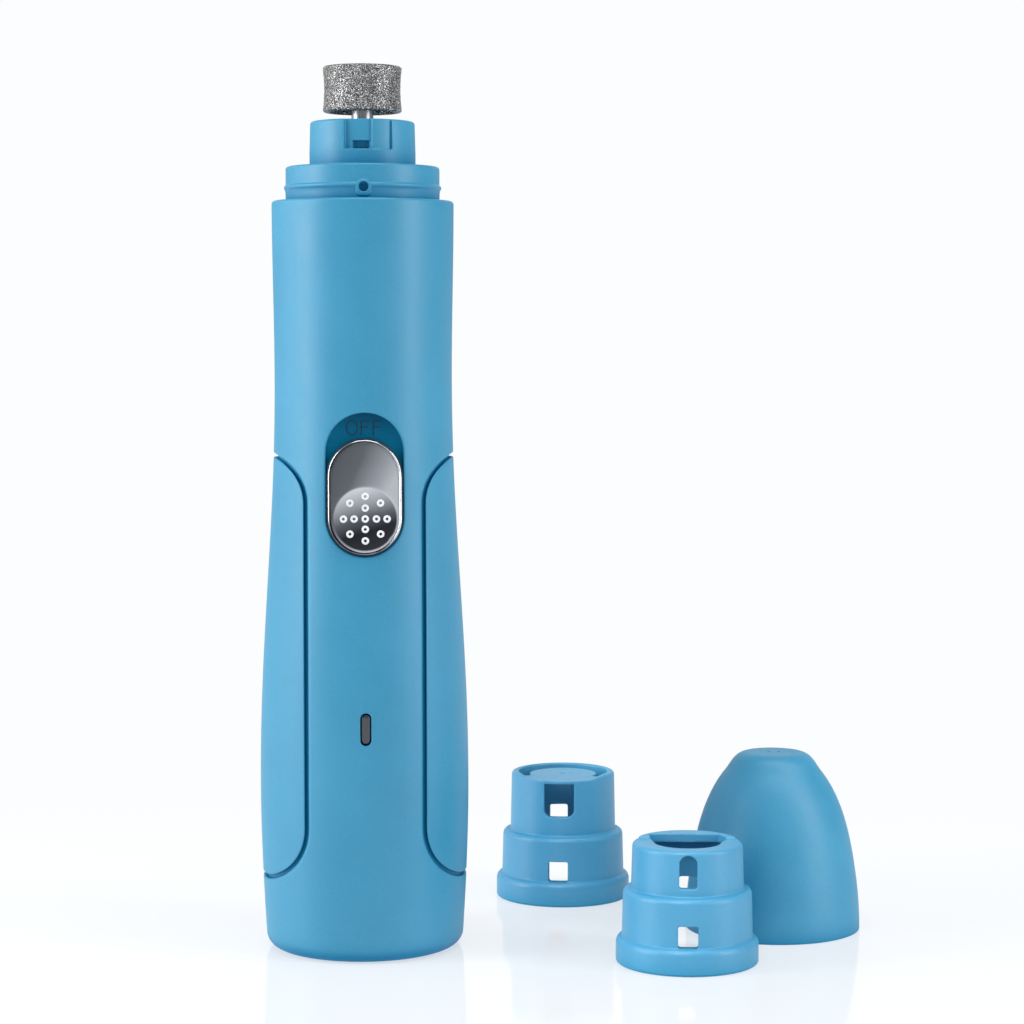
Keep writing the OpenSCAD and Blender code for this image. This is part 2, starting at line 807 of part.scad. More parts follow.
module cap_open_shape() {
    wall_h = open_h - 0.4;
    window_half_w = 1.52;
    difference() {
        union() {
            cap_wall(wall_h);
            cap_nub();
            rod(8.6, open_h - 1.5, wall_h);
            // raised segment at the back of the top
            intersection() {
                rod(cap_scale * 8.45, open_h - 0.5, open_h);
                box([-9, 9], [2.6, 9.2], [18, 22]);
            }
        }
        // top opening
        translate([0, 0, open_h - 3]) linear_extrude(height = 5) scale(cap_scale) union() {
            translate([0, -0.3]) circle(r = 5.5);
            polygon([[-6.6, 4.9], [5.4, 5.1], [6.5, 2.6], [5.2, 0], [-5.2, 0]]);
        }
        // low front window and back notch
        front_prism(rounded_rect(-1.7, 1.7, 4.6, 8.3, 0.25, 2), -14, -7);
        box([-2, 2.7], [7, 14], [-1, 4.8]);
        // upper front window with a round top, and back window
        front_prism(concat(slot_foot(window_half_w, 14.4, 0.35, 3),
            [for (i = [0 : 10])
                [-window_half_w * cos(18 * i), 18.5 + window_half_w * sin(18 * i)]]), -12, -7.6);
        front_prism(rounded_rect(-1.3, 2, 10.4, 13, 0.25, 2), 7, 12.4);
    }
}

module guard_cap_slotted() {
    color(blue) translate(slotted_pos) rotate([0, 0, -9.3]) cap_slotted_shape();
}

module guard_cap_open() {
    color(blue) translate(open_pos) rotate([0, 0, -6.5]) cap_open_shape();
}

// Outside radius of the travel cover at height z, part of an ellipse
function cover_outer_r(z) = cover_r * sqrt(1 - pow(0.967 * z / cover_h, 2));

module travel_cover() {
    wall = 1.3;
    bore_top = 6;
    edge_z = cover_h - 0.8;
    edge_r = cover_outer_r(edge_z);
    ceiling_z = cover_h - 1.4;
    color(blue) translate(cover_pos) difference() {
        rotate_extrude($fn = 96) polygon(concat(
            [[cover_bore_r, 0], [cover_r - 0.2, 0], [cover_r, 0.2]],
            [for (i = [1 : 13]) let (z = edge_z * i / 13) [cover_outer_r(z), z]],
            [[edge_r - 0.55, cover_h - 0.3], [edge_r - 1.5, cover_h], [0, cover_h],
             [0, ceiling_z]],
            [for (i = [10 : -1 : 3]) let (z = ceiling_z * i / 10) [cover_outer_r(z) - wall, z]],
            [[cover_outer_r(bore_top) - wall, bore_top], [cover_bore_r, bore_top]]));
        // two small pits in the top
        for (x = [-0.9, 0.9]) rod(0.28, cover_h - 0.35, cover_h + 1, x);
    }
}

front_shell();
rear_shell();
grip_left();
grip_right();
base_plug();
usb_socket_shell();
usb_socket_tongue();
charge_pcb();
main_pcb();
pcb_components();
pcb_screws();
slide_switch_body();
status_led();
led_lens();
battery_cell();
battery_wrap();
battery_tabs();
battery_leads();
motor_can();
motor_end_cap();
motor_terminals();
motor_magnets();
motor_front_bush();
motor_rear_bush();
motor_brushes();
motor_screws();
motor_leads();
nose_collar();
dust_seal();
shell_screws();
motor_shaft();
rotor_core();
rotor_windings();
commutator();
shaft_coupler();
coupler_set_screw();
bit_shank();
drum_core();
diamond_sleeve();
switch_button();
switch_bezel();
switch_dots();
switch_carrier();
switch_actuator();
guard_cap_slotted();
guard_cap_open();
travel_cover();
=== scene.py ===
"""A cordless nail grinder with two guard caps and a travel cover.

The handle stands upright on its foot, centred on the Z axis, with the switch facing -Y. The caps
and the cover stand beside it on the +X side. Shapes are written in millimetres, and new_mesh turns
them into metres. Materials, lights and the floor are in metres.
"""
import json
import math

import bmesh
import bpy
import numpy as np
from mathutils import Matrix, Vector
from mathutils.geometry import delaunay_2d_cdt, tessellate_polygon


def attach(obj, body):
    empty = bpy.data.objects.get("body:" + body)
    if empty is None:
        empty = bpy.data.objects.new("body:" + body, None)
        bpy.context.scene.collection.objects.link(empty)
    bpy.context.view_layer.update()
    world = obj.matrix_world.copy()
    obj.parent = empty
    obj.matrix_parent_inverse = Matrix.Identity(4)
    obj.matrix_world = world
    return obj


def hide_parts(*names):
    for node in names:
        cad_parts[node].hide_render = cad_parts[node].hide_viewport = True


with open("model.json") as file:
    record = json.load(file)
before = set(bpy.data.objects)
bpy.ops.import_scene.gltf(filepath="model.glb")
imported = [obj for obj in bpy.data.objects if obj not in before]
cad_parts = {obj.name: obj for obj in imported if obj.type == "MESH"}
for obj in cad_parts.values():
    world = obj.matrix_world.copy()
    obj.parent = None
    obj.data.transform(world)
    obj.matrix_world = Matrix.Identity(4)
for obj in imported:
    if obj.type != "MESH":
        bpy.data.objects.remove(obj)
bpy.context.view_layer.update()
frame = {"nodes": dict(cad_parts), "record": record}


MM = 0.001

# ---------------------------------------------------------------- driving dimensions, mm
BODY_TOP = 130.5
BELLY_Z, BELLY_RADIUS = 29, 18.3
WAIST_Z, WAIST_RADIUS = 100, 15.45
SHOULDER_RADIUS = 15.8
FOOT_TUCK = 1.1  # how much narrower the foot is than the belly
FOOT_ROUND, TOP_ROUND = 2.6, 0.55  # edge radii
WALL = 2.4
FOOT_HOLE_RADIUS, MOUTH_RADIUS = 12.0, 13.4

# side grips: the outline seen from the front, and the pocket they sit in
GRIP_EDGE_X, GRIP_BOTTOM, GRIP_TOP = 10.05, 12.6, 86.9
GRIP_TOP_CORNER, GRIP_BOTTOM_CORNER = 8.2, 10.5
GROOVE, POCKET_DEPTH = 0.65, 0.8

# upright slots on the front: width, bottom z, top z, steps per end arc, steps per straight side
RECESS = (13.0, 69.9, 94.2, 36, 16)
RECESS_SLOT = (5.0, 75.0, 89.4, 16, 8)  # opening in the recess floor, behind the switch
LED_WINDOW = (1.86, 37.8, 43.35, 16, 8)
LED_LENS = (1.5, 38.1, 43.1, 16, 8)
SWITCH = (12.5, 70.1, 89.7, 40, 18)
RECESS_FLOOR_Y = -13.3

SHEET_SCALE = 17.0  # unrolled sheets: mm of width per radian round the handle
HALF_SHEET = SHEET_SCALE * math.pi / 2


def body_radius(z):
    """Outside radius of the handle at a height."""
    z = np.asarray(z, float)

    def ease(radius0, radius1, z0, z1):
        return radius0 + (radius1 - radius0) * (1 - np.cos(np.pi * (z - z0) / (z1 - z0))) / 2

    foot = BELLY_RADIUS - FOOT_TUCK * (1 - np.cos(np.pi / 2 * (BELLY_Z - z) / BELLY_Z))
    middle = ease(BELLY_RADIUS, WAIST_RADIUS, BELLY_Z, WAIST_Z)
    shoulder = ease(WAIST_RADIUS, SHOULDER_RADIUS, WAIST_Z, BODY_TOP)
    return np.where(z < BELLY_Z, foot, np.where(z < WAIST_Z, middle, shoulder))


# ---------------------------------------------------------------- mesh helpers
def new_mesh(name, verts, faces, sharp, merge=0.0):
    """Makes an object from mm vertices. Edges over sharp degrees stay crisp, 0 for none."""
    mesh = bpy.data.meshes.new(name)
    points = [tuple(v) for v in np.asarray(verts, float) * MM]
    mesh.from_pydata(points, [], [list(map(int, face)) for face in faces])
    mesh.validate()
    obj = bpy.data.objects.new(name, mesh)
    bpy.context.scene.collection.objects.link(obj)
    bm = bmesh.new()
    bm.from_mesh(mesh)
    if merge:
        bmesh.ops.remove_doubles(bm, verts=bm.verts, dist=merge * MM)
    bmesh.ops.recalc_face_normals(bm, faces=bm.faces)
    bm.to_mesh(mesh)
    bm.free()
    smooth(mesh, sharp)
    return obj


def smooth(mesh, sharp):
    mesh.polygons.foreach_set("use_smooth", np.ones(len(mesh.polygons), bool))
    if sharp:
        mesh.set_sharp_from_angle(angle=math.radians(sharp))
    mesh.update()


def read_points(mesh):
    points = np.zeros(len(mesh.vertices) * 3)
    mesh.vertices.foreach_get("co", points)
    return points.reshape(-1, 3)


def write_points(mesh, points):
    mesh.vertices.foreach_set("co", points.ravel().astype(np.float32))
    mesh.update()


def band_faces(rings, count, first=0, wrap=False):
    """Quads between stacked rings of count points; wrap also joins the last ring to the first."""
    faces = []
    for j in range(rings if wrap else rings - 1):
        low = first + j * count
        high = first + (j + 1) % rings * count
        for i in range(count):
            k = (i + 1) % count
            faces.append([low + i, low + k, high + k, high + i])
    return faces


def lathe(outline, segments, name="lathe", sharp=0, start=0.0, end=360.0, centre=(0, 0)):
    """Turns a closed (r, z) outline about Z. A partial turn gets end caps."""
    full = abs(end - start) >= 359.9
    columns = segments if full else segments + 1
    angles = np.radians(start + (end - start) * np.arange(columns) / segments)
    count = len(outline)
    verts = []
    index = np.zeros((columns, count), int)
    for j, (r, z) in enumerate(outline):
        for i, angle in enumerate(angles):
            if i and r < 1e-6:
                # all columns share one vertex on the axis
                index[i, j] = index[0, j]
                continue
            index[i, j] = len(verts)
            verts.append((centre[0] + r * math.cos(angle), centre[1] + r * math.sin(angle), z))
    faces = []
    for i in range(segments):
        here, there = index[i], index[(i + 1) % columns]
        for j in range(count):
            k = (j + 1) % count
            face = list(dict.fromkeys([here[j], there[j], there[k], here[k]]))
            if len(face) >= 3:
                faces.append(face)
    if not full:
        faces += [index[0], index[-1][::-1]]
    return new_mesh(name, verts, faces, sharp)


def prism(outline, low, high, axis="Z"):
    """Extrudes an outline. Axis Z takes (x, y) points, axis Y takes (x, z) points."""
    count = len(outline)
    if axis == "Z":
        verts = [(x, y, level) for level in (low, high) for x, y in outline]
    else:
        verts = [(x, level, z) for level in (low, high) for x, z in outline]
    ends = [range(count), range(2 * count - 1, count - 1, -1)]
    return new_mesh("prism", verts, ends + band_faces(2, count), 0)


def block(x0, x1, y0, y1, z0, z1):
    return prism([(x0, y0), (x1, y0), (x1, y1), (x0, y1)], z0, z1)


def arc(centre, radii, start, end, count):
    """Points on an elliptical arc, angles in radians."""
    return [
        (centre[0] + radii[0] * math.cos(t), centre[1] + radii[1] * math.sin(t))
        for t in np.linspace(start, end, count)
    ]


def rounded_rect(x0, x1, y0, y1, radius):
    """Anticlockwise from the right of the upper right corner, six steps per corner."""
    left, right, low, high = x0 + radius, x1 - radius, y0 + radius, y1 - radius
    points = []
    for x, y, turn in ((right, high, 0), (left, high, 90), (left, low, 180), (right, low, 270)):
        for i in range(7):
            t = math.radians(turn + 90 * i / 6)
            points.append((x + radius * math.cos(t), y + radius * math.sin(t)))
    return points


def stadium(shape, inset=0.0, end_share=1.0):
    """(x, z) outline of an upright slot moved inwards; end_share scales the move at its ends."""
    width, low, high, arc_steps, side_steps = shape
    r = (width - 2 * inset) / 2
    upper = high - inset * end_share - r
    lower = low + inset * end_share + r
    points = []
    for turn, side, here, there in ((0, -r, upper, lower), (math.pi, r, lower, upper)):
        for i in range(arc_steps):
            t = turn + math.pi * i / arc_steps
            points.append((r * math.cos(t), here + r * math.sin(t)))
        for i in range(side_steps):
            points.append((side, here + (there - here) * i / side_steps))
    return np.array(points)


def cut(base, tools, operation="DIFFERENCE"):
    """Applies exact booleans and drops the tools."""
    for tool in tools:
        modifier = base.modifiers.new("cut", "BOOLEAN")
        modifier.operation = operation
        modifier.solver = "EXACT"
        modifier.object = tool
    bake(base)
    for tool in tools:
        mesh = tool.data
        bpy.data.objects.remove(tool)
        bpy.data.meshes.remove(mesh)


def bake(obj):
    """Turns the modified shape into the object's own mesh."""
    depsgraph = bpy.context.evaluated_depsgraph_get()
    depsgraph.update()
    mesh = bpy.data.meshes.new_from_object(obj.evaluated_get(depsgraph), depsgraph=depsgraph)
    old = obj.data
    obj.modifiers.clear()
    obj.data = mesh
    bpy.data.meshes.remove(old)
    mesh.name = obj.name


def soften(obj, voxel, rounds, factor):
    """Voxel remesh and a light smooth, which rounds every edge as a moulding does."""
    remesh = obj.modifiers.new("remesh", "REMESH")
    remesh.mode = "VOXEL"
    remesh.voxel_size = voxel * MM
    remesh.adaptivity = 0
    relax = obj.modifiers.new("relax", "SMOOTH")
    relax.iterations = rounds
    relax.factor = factor
    bake(obj)
    smooth(obj.data, 0)


def face_front(obj, y, z):
    """Lays a shape made about Z along -Y, its zero at (0, y, z)."""
    points = read_points(obj.data) / MM
    write_points(obj.data, np.c_[points[:, 0], y - points[:, 2], points[:, 1] + z] * MM)


def set_down(obj, x, y, turn=0.0):
    """Turns a part about Z by some degrees and moves it to its place on the floor."""
    points = read_points(obj.data).astype(np.float32)  # worked in the mesh's own precision
    cos, sin = math.cos(math.radians(turn)), math.sin(math.radians(turn))
    new_x = points[:, 0] * cos - points[:, 1] * sin + x * MM
    new_y = points[:, 0] * sin + points[:, 1] * cos + y * MM
    write_points(obj.data, np.c_[new_x, new_y, points[:, 2]])


# ---------------------------------------------------------------- plane geometry
def inside(points, outline):
    """Even-odd test of many points in one polygon."""
    x, y = points[:, 0], points[:, 1]
    hit = np.zeros(len(points), bool)
    for (x0, y0), (x1, y1) in zip(outline, np.roll(outline, -1, axis=0)):
        if y0 == y1:
            continue
        hit ^= ((y0 > y) != (y1 > y)) & (x < (x1 - x0) * (y - y0) / (y1 - y0) + x0)
    return hit


def distance(points, line, closed=True):
    """Distance of many points to one polyline."""
    x, y = points[:, 0], points[:, 1]
    starts = line if closed else line[:-1]
    ends = np.roll(line, -1, axis=0) if closed else line[1:]
    best = np.full(len(points), 1e9)
    for (x0, y0), (x1, y1) in zip(starts, ends):
        dx, dy = x1 - x0, y1 - y0
        square = dx * dx + dy * dy + 1e-12
        t = np.clip(((x - x0) * dx + (y - y0) * dy) / square, 0, 1)
        best = np.minimum(best, np.hypot(x - x0 - t * dx, y - y0 - t * dy))
    return best


def run_length(line):
    """Length along a polyline at each of its points."""
    return np.r_[0, np.cumsum(np.hypot(*np.diff(line, axis=0).T))]


def resample(line, step):
    """Even spacing along an open polyline, both ends kept."""
    along = run_length(line)
    steps = max(2, int(round(along[-1] / step)))
    at = np.linspace(0, along[-1], steps + 1)
    return np.c_[np.interp(at, along, line[:, 0]), np.interp(at, along, line[:, 1])]


def smoothstep(low, high, x):
    t = np.clip((x - low) / (high - low), 0, 1)
    return t * t * (3 - 2 * t)


def grid_points(across, up):
    x, y = np.meshgrid(across, up)
    return np.c_[x.ravel(), y.ravel()]


def keep_faces(points, faces, outline, within=True):
    """The triangles whose centres lie within an outline, or outside it."""
    return faces[inside(points[faces].mean(1), outline) == within]


class Sheet:
    """A flat triangulation whose points carry a depth, and a fixed y where one is given."""

    def __init__(self):
        self.points, self.depth, self.level, self.edges = [], [], [], []

    def add(self, points, depth=0.0, level=np.nan, ring=False, closed=True):
        """Adds points, joined into a line if ring is set, and returns their numbers."""
        first, count = len(self.points), len(points)
        self.points += [tuple(p) for p in points]
        self.depth += list(np.broadcast_to(depth, count))
        self.level += list(np.broadcast_to(level, count))
        if ring:
            links = range(count if closed else count - 1)
            self.edges += [(first + i, first + (i + 1) % count) for i in links]
        return list(range(first, first + count))

    def solve(self):
        """Returns points, triangles, depths, levels and a map from added number to row."""
        verts, _, faces, origins, _, _ = delaunay_2d_cdt(
            [Vector(p) for p in self.points], self.edges, [], 0, 1e-7
        )
        source = np.array([o[0] if o else -1 for o in origins])
        triangles = np.array([list(face) for face in faces if len(face) == 3])
        rows = {int(s): i for i, s in enumerate(source)}
        depth, level = np.array(self.depth)[source], np.array(self.level)[source]
        return np.array([(p.x, p.y) for p in verts]), triangles, depth, level, rows


class Grid:
    """Background points of a sheet, cleared round the features that bring their own rings."""

    def __init__(self, across, up):
        self.points = grid_points(across, up)
        self.keep = np.ones(len(self.points), bool)
        self.depth = np.zeros(len(self.points))
        self.level = np.full(len(self.points), np.nan)

    def clear(self, area, outer_gap, inner_gap=np.inf, edge=None):
        """Drops points near the area's outline, or near an open edge, and marks those within."""
        within = inside(self.points, area)
        if edge is None:
            near = distance(self.points, area)
        else:
            near = distance(self.points, edge, closed=False)
        self.keep &= ~(near < np.where(within, inner_gap, outer_gap))
        return within

    def add_to(self, sheet):
        sheet.add(self.points[self.keep], self.depth[self.keep], self.level[self.keep])


# ---------------------------------------------------------------- handle shells
def outer_profile():
    """Columns (sheet height, r, z) outside; sheet height is z on the straight wall."""
    foot = float(body_radius(FOOT_ROUND)) - FOOT_ROUND
    low = [(FOOT_HOLE_RADIUS, 0.0)]
    low += [(r, 0.0) for r in np.linspace(12.4, foot, 4)]
    for i in range(1, 13):
        t = math.pi / 2 * i / 12
        low.append((foot + FOOT_ROUND * math.sin(t), FOOT_ROUND - FOOT_ROUND * math.cos(t)))
    low = np.array(low)
    along = run_length(low)
    rows = list(zip(along - along[-1] + FOOT_ROUND, low[:, 0], low[:, 1]))
    wall = np.linspace(FOOT_ROUND, BODY_TOP - TOP_ROUND, 90)[1:]
    rows += zip(wall, body_radius(wall), wall)
    rim = SHOULDER_RADIUS - TOP_ROUND
    for i in range(1, 8):
        t = math.pi / 2 * i / 7
        z = BODY_TOP - TOP_ROUND + TOP_ROUND * math.sin(t)
        rows.append((rows[-1][0] + TOP_ROUND * math.pi / 14, rim + TOP_ROUND * math.cos(t), z))
    for r in np.linspace(rim, MOUTH_RADIUS, 4)[1:]:
        rows.append((rows[-1][0] + (rows[-1][1] - r), r, BODY_TOP))
    return np.array(rows).T


def inner_profile():
    """Columns (sheet height, r, z) inside: foot, wall, then the stepped mouth."""
    points = [(FOOT_HOLE_RADIUS, 0.0), (FOOT_HOLE_RADIUS, 1.2), (FOOT_HOLE_RADIUS, 2.4)]
    points += [(13.2, 2.4), (float(body_radius(2.4)) - WALL, 2.4)]
    points += [(float(body_radius(z)) - WALL, z) for z in np.linspace(5, 126.9, 52)]
    points += [(14.4, 126.9), (14.4, 128.7)]
    points += [(MOUTH_RADIUS, 128.7), (MOUTH_RADIUS, 129.6), (MOUTH_RADIUS, BODY_TOP)]
    points = np.array(points)
    return run_length(points), points[:, 0], points[:, 1]


OUTER_V, OUTER_R, OUTER_Z = outer_profile()
INNER_V, INNER_R, INNER_Z = inner_profile()
INNER_WALL = slice(4, -5)  # rows of the inner profile along the wall


def wrap_round(angle, radius, z, depth):
    """Points at an angle from -Y, sunk straight back near the front and radially at the sides."""
    x, sunk = radius * np.sin(angle), radius - depth
    radial = np.c_[sunk * np.sin(angle), -sunk * np.cos(angle)]
    straight = np.c_[x, -np.sqrt(np.maximum(sunk**2 - x**2, 1e-6))]
    share = smoothstep(math.radians(48), math.radians(72), np.abs(angle))[:, None]
    return np.c_[straight * (1 - share) + radial * share, z]


def to_sheet(outline):
    """Unrolls an (x, z) outline seen from the front."""
    x, z = outline[:, 0], outline[:, 1]
    return np.c_[SHEET_SCALE * np.arcsin(np.clip(x / body_radius(z), -1, 1)), z]


def panel_edge(inset):
    """The grip's outline moved inwards, on the sheet from the side's top to the side's bottom."""

    def corner(centre_z, radius, sign):
        turn = np.linspace(0, math.pi / 2, 1500)
        x = GRIP_EDGE_X + radius - (radius - inset) * np.cos(turn)
        z = centre_z + sign * (radius - inset) * np.sin(turn)
        on_body = x <= body_radius(z)
        x, z = x[on_body], z[on_body]
        return np.r_[to_sheet(np.c_[x, z]), [[HALF_SHEET, z[-1]]]]

    high, low = GRIP_TOP - GRIP_TOP_CORNER, GRIP_BOTTOM + GRIP_BOTTOM_CORNER
    z = np.linspace(high, low, 60)[1:-1]
    side = to_sheet(np.c_[np.full(len(z), GRIP_EDGE_X + inset), z])
    top = corner(high, GRIP_TOP_CORNER, 1)[::-1]
    bottom = corner(low, GRIP_BOTTOM_CORNER, -1)
    return resample(np.r_[top, side, bottom], 0.8)


def lip(gap, radius):
    """Depth of a rounded edge of some radius at a distance from the edge."""
    t = np.clip(1 - gap / radius, 0, 1)
    return radius - np.sqrt(np.maximum(radius * radius - (radius * t) ** 2, 0))


def add_pockets(sheet, grid):
    """The two halves of the grip pockets, each with a rounded edge and a steep wall."""
    rim = -GROOVE / 2
    for side in (1, -1):
        edge = panel_edge(rim)
        beyond = HALF_SHEET + 3
        area = np.r_[edge, [[beyond, edge[-1][1]], [beyond, edge[0][1]]]] * [side, 1]
        within = grid.clear(area, outer_gap=0.95, inner_gap=0.85, edge=edge * [side, 1])
        grid.depth[within] = POCKET_DEPTH
        rings = [(-gap, lip(gap, 0.3)) for gap in (0.60, 0.30, 0.235, 0.17, 0.11, 0.06, 0.02)]
        rings += [(0.0, 0.32), (0.05, POCKET_DEPTH), (0.45, POCKET_DEPTH)]
        for inset, depth in rings:
            sheet.add(panel_edge(rim + inset) * [side, 1], depth, ring=True, closed=False)


def add_lip(sheet, shape, gaps, radius):
    for gap in gaps:
        sheet.add(to_sheet(stadium(shape, -gap)), lip(gap, radius), ring=True)


def add_front_features(sheet, grid):
    """Switch recess and two holes; returns (sheet outline, point numbers, outline) per hole."""
    within = grid.clear(to_sheet(stadium(RECESS)), outer_gap=0.9, inner_gap=0.5)
    grid.level[within] = RECESS_FLOOR_Y
    add_lip(sheet, RECESS, (0.65, 0.38, 0.29, 0.2, 0.12, 0.05, 0.01), radius=0.38)
    for inset, rise in ((0.02, 0.25), (0.06, 0.08), (0.17, 0)):
        ring = to_sheet(stadium(RECESS, inset))
        sheet.add(ring, 0, RECESS_FLOOR_Y - rise, ring=True)

    window = stadium(LED_WINDOW)
    window_sheet = to_sheet(window)
    grid.clear(window_sheet, outer_gap=0.75)
    add_lip(sheet, LED_WINDOW, (0.5, 0.2, 0.14, 0.08, 0.03), radius=0.2)
    window_ids = sheet.add(window_sheet, 0.2, ring=True)

    slot = stadium(RECESS_SLOT)
    slot_sheet = to_sheet(slot)
    grid.clear(slot_sheet, outer_gap=0.4)
    slot_ids = sheet.add(slot_sheet, 0, RECESS_FLOOR_Y, ring=True)
    return [(window_sheet, window_ids, window), (slot_sheet, slot_ids, slot)]


def outer_skin(front):
    """Returns sheet points, vertices, triangles, holes and rows of the outside."""
    sheet = Sheet()
    rows = np.r_[OUTER_V[:17], np.arange(4.4, BODY_TOP - 1.2, 1.55), OUTER_V[-11:]]
    grid = Grid(np.linspace(-HALF_SHEET, HALF_SHEET, 77), np.unique(np.round(rows, 5)))
    add_pockets(sheet, grid)
    holes = add_front_features(sheet, grid) if front else []
    grid.add_to(sheet)
    flat, faces, depth, level, rows = sheet.solve()
    across, up = flat[:, 0], flat[:, 1]
    angle = across / SHEET_SCALE
    radius, z = np.interp(up, OUTER_V, OUTER_R), np.interp(up, OUTER_V, OUTER_Z)
    # the wall pulls in a little along the parting line
    seam = 0.16 * (1 - np.clip((HALF_SHEET - np.abs(across)) / 0.36, 0, 1)) ** 2
    on_wall = (up > 3) & (up < BODY_TOP - 0.6) & (depth < 0.01)
    verts = wrap_round(angle, radius, z, depth + np.where(on_wall, seam, 0))
    levelled = ~np.isnan(level)
    verts[levelled, 0] = (radius * np.sin(angle))[levelled]
    verts[levelled, 1] = level[levelled]
    for outline, _, _ in holes:
        faces = keep_faces(flat, faces, outline, within=False)
    return flat, verts, faces, holes, rows


def inner_skin(front, holes):
    """Returns sheet points, vertices, triangles, hole point numbers and rows of the inside."""
    sheet = Sheet()
    grid = Grid(np.linspace(-HALF_SHEET, HALF_SHEET, 77), np.unique(np.round(INNER_V, 6)))
    outlines, hole_ids = [], []
    for _, _, outline in holes:
        x, z = outline[:, 0], outline[:, 1]
        up = np.interp(z, INNER_Z[INNER_WALL], INNER_V[INNER_WALL])
        ring = np.c_[SHEET_SCALE * np.arcsin(x / (body_radius(z) - WALL)), up]
        grid.clear(ring, outer_gap=0.5)
        outlines.append(ring)
        hole_ids.append(sheet.add(ring, ring=True))
    grid.add_to(sheet)
    flat, faces, _, _, rows = sheet.solve()
    angle = flat[:, 0] / SHEET_SCALE
    radius = np.interp(flat[:, 1], INNER_V, INNER_R)
    z = np.interp(flat[:, 1], INNER_V, INNER_Z)
    verts = np.c_[radius * np.sin(angle), -radius * np.cos(angle), z]
    if front:
        # flattened behind the switch recess
        behind = (np.abs(verts[:, 0]) < 7.7) & (z > 68.7) & (z < 95.4) & (verts[:, 1] < -12)
        verts[behind, 1] = -12.0
    for outline in outlines:
        faces = keep_faces(flat, faces, outline, within=False)
    return flat, verts, faces, hole_ids, rows


def side_rows(flat, side, direction):
    """Rows of the points on one side edge of a sheet, going up (1) or down (-1)."""
    rows = [i for i in range(len(flat)) if abs(flat[i, 0] - side * HALF_SHEET) < 1e-6]
    return sorted(rows, key=lambda i: direction * flat[i, 1])


def shell(name, front):
    """One half of the handle; the rear half is the plain one turned round."""
    flat, outer, outer_faces, holes, outer_rows = outer_skin(front)
    inner_flat, inner, inner_faces, inner_ids, inner_rows = inner_skin(front, holes)
    first = len(outer)
    verts = np.r_[outer, inner]
    faces = list(outer_faces) + list(inner_faces[:, ::-1] + first)
    for (_, outer_ids, _), ids in zip(holes, inner_ids):
        count = len(ids)
        for i in range(count):
            k = (i + 1) % count
            near = [outer_rows[outer_ids[i]], outer_rows[outer_ids[k]]]
            faces.append(near + [inner_rows[ids[k]] + first, inner_rows[ids[i]] + first])
    # the two faces along the parting line
    for side in (1, -1):
        down = side_rows(inner_flat, side, -1)[1:-1]
        loop = side_rows(flat, side, 1) + [i + first for i in down]
        outline = [Vector((abs(verts[i, 0]), verts[i, 2], 0)) for i in loop]
        faces += [[loop[i] for i in triangle] for triangle in tessellate_polygon([outline])]
    if not front:
        verts = verts * [-1, -1, 1]
    return new_mesh(name, verts, faces, 38, merge=0.0005)


def grip(name, side):
    """A side panel: its face is flush with the shell and its edge is rounded."""
    rim, edge_round, back_depth = GROOVE / 2, 0.28, POCKET_DEPTH - 0.05

    def outline(inset):
        front_half = panel_edge(inset) - [HALF_SHEET, 0]  # measured from the side
        return np.r_[front_half, front_half[::-1][1:-1] * [-1, 1]]

    def on_body(flat, depth):
        turn = flat[:, 0] / SHEET_SCALE
        radius = body_radius(flat[:, 1]) - 0.02
        verts = wrap_round(math.pi / 2 - np.abs(turn), radius, flat[:, 1], depth)
        verts[:, 1] *= np.where(turn > 0, -1, 1)
        return verts

    edge = outline(rim)
    face = Sheet()
    face.add(edge, back_depth, ring=True)
    for gap in (0.012, 0.05, 0.1, 0.16, 0.22, edge_round, 0.55):
        face.add(outline(rim + gap), lip(gap, edge_round), ring=True)
    grid = grid_points(np.linspace(-20, 20, 54), np.arange(GRIP_BOTTOM, GRIP_TOP, 1.5))
    limit = outline(rim + 0.55)
    grid = grid[inside(grid, limit) & (distance(grid, limit) > 0.4)]
    face.add(grid)
    flat, faces, depth, _, _ = face.solve()
    faces = keep_faces(flat, faces, edge)

    back = Sheet()
    back.add(edge, ring=True)
    back.add(grid[::3])
    back_flat, back_faces, _, _, _ = back.solve()
    back_faces = keep_faces(back_flat, back_faces, edge)
    back_verts = on_body(back_flat, np.full(len(back_flat), back_depth))
    verts = np.r_[on_body(flat, depth), back_verts] * [side, 1, 1]
    faces = list(faces) + list(back_faces[:, ::-1] + len(flat))
    return new_mesh(name, verts, faces, 50, merge=0.0005)


# ---------------------------------------------------------------- nose collar
COLLAR_STEP_Z, COLLAR_TOP_Z = 136.4, 144.2
NECK_RADIUS = 9.2
# notches in the neck: inner radius, left x, right x, bottom z, top z, taper, at the back
NECK_NOTCHES = (
    (8.42, -3.3, 1.65, 138.95, 145.5, 0.12, False),
    (8.42, -3.3, 1.65, 138.95, 145.5, 0.12, True),
    (8.86, 1.6, 4.95, 138.98, 145.5, 0.0, False),
    (8.72, 4.72, 5.0, 139.02, 145.5, 0.0, False),
    (8.34, -2.3, 1.5, 139.0, 140.62, 0.1, False),
    (7.42, -1.95, 1.22, 139.12, 140.42, 0.0, False),
)


def neck_notch(radius, left, right, bottom, top, taper, back):
    """A wedge that cuts the neck between two x positions."""
    start, end = (math.degrees(math.asin(x / NECK_RADIUS)) for x in (left, right))
    base = -90
    if back:
        start, end, base = -end, -start, 90
    outline = [(radius, bottom + taper), (11, bottom), (11, top), (radius, top - taper)]
    segments = max(4, int((end - start) / 1.5))
    return lathe(outline, segments, start=base + start, end=base + end)


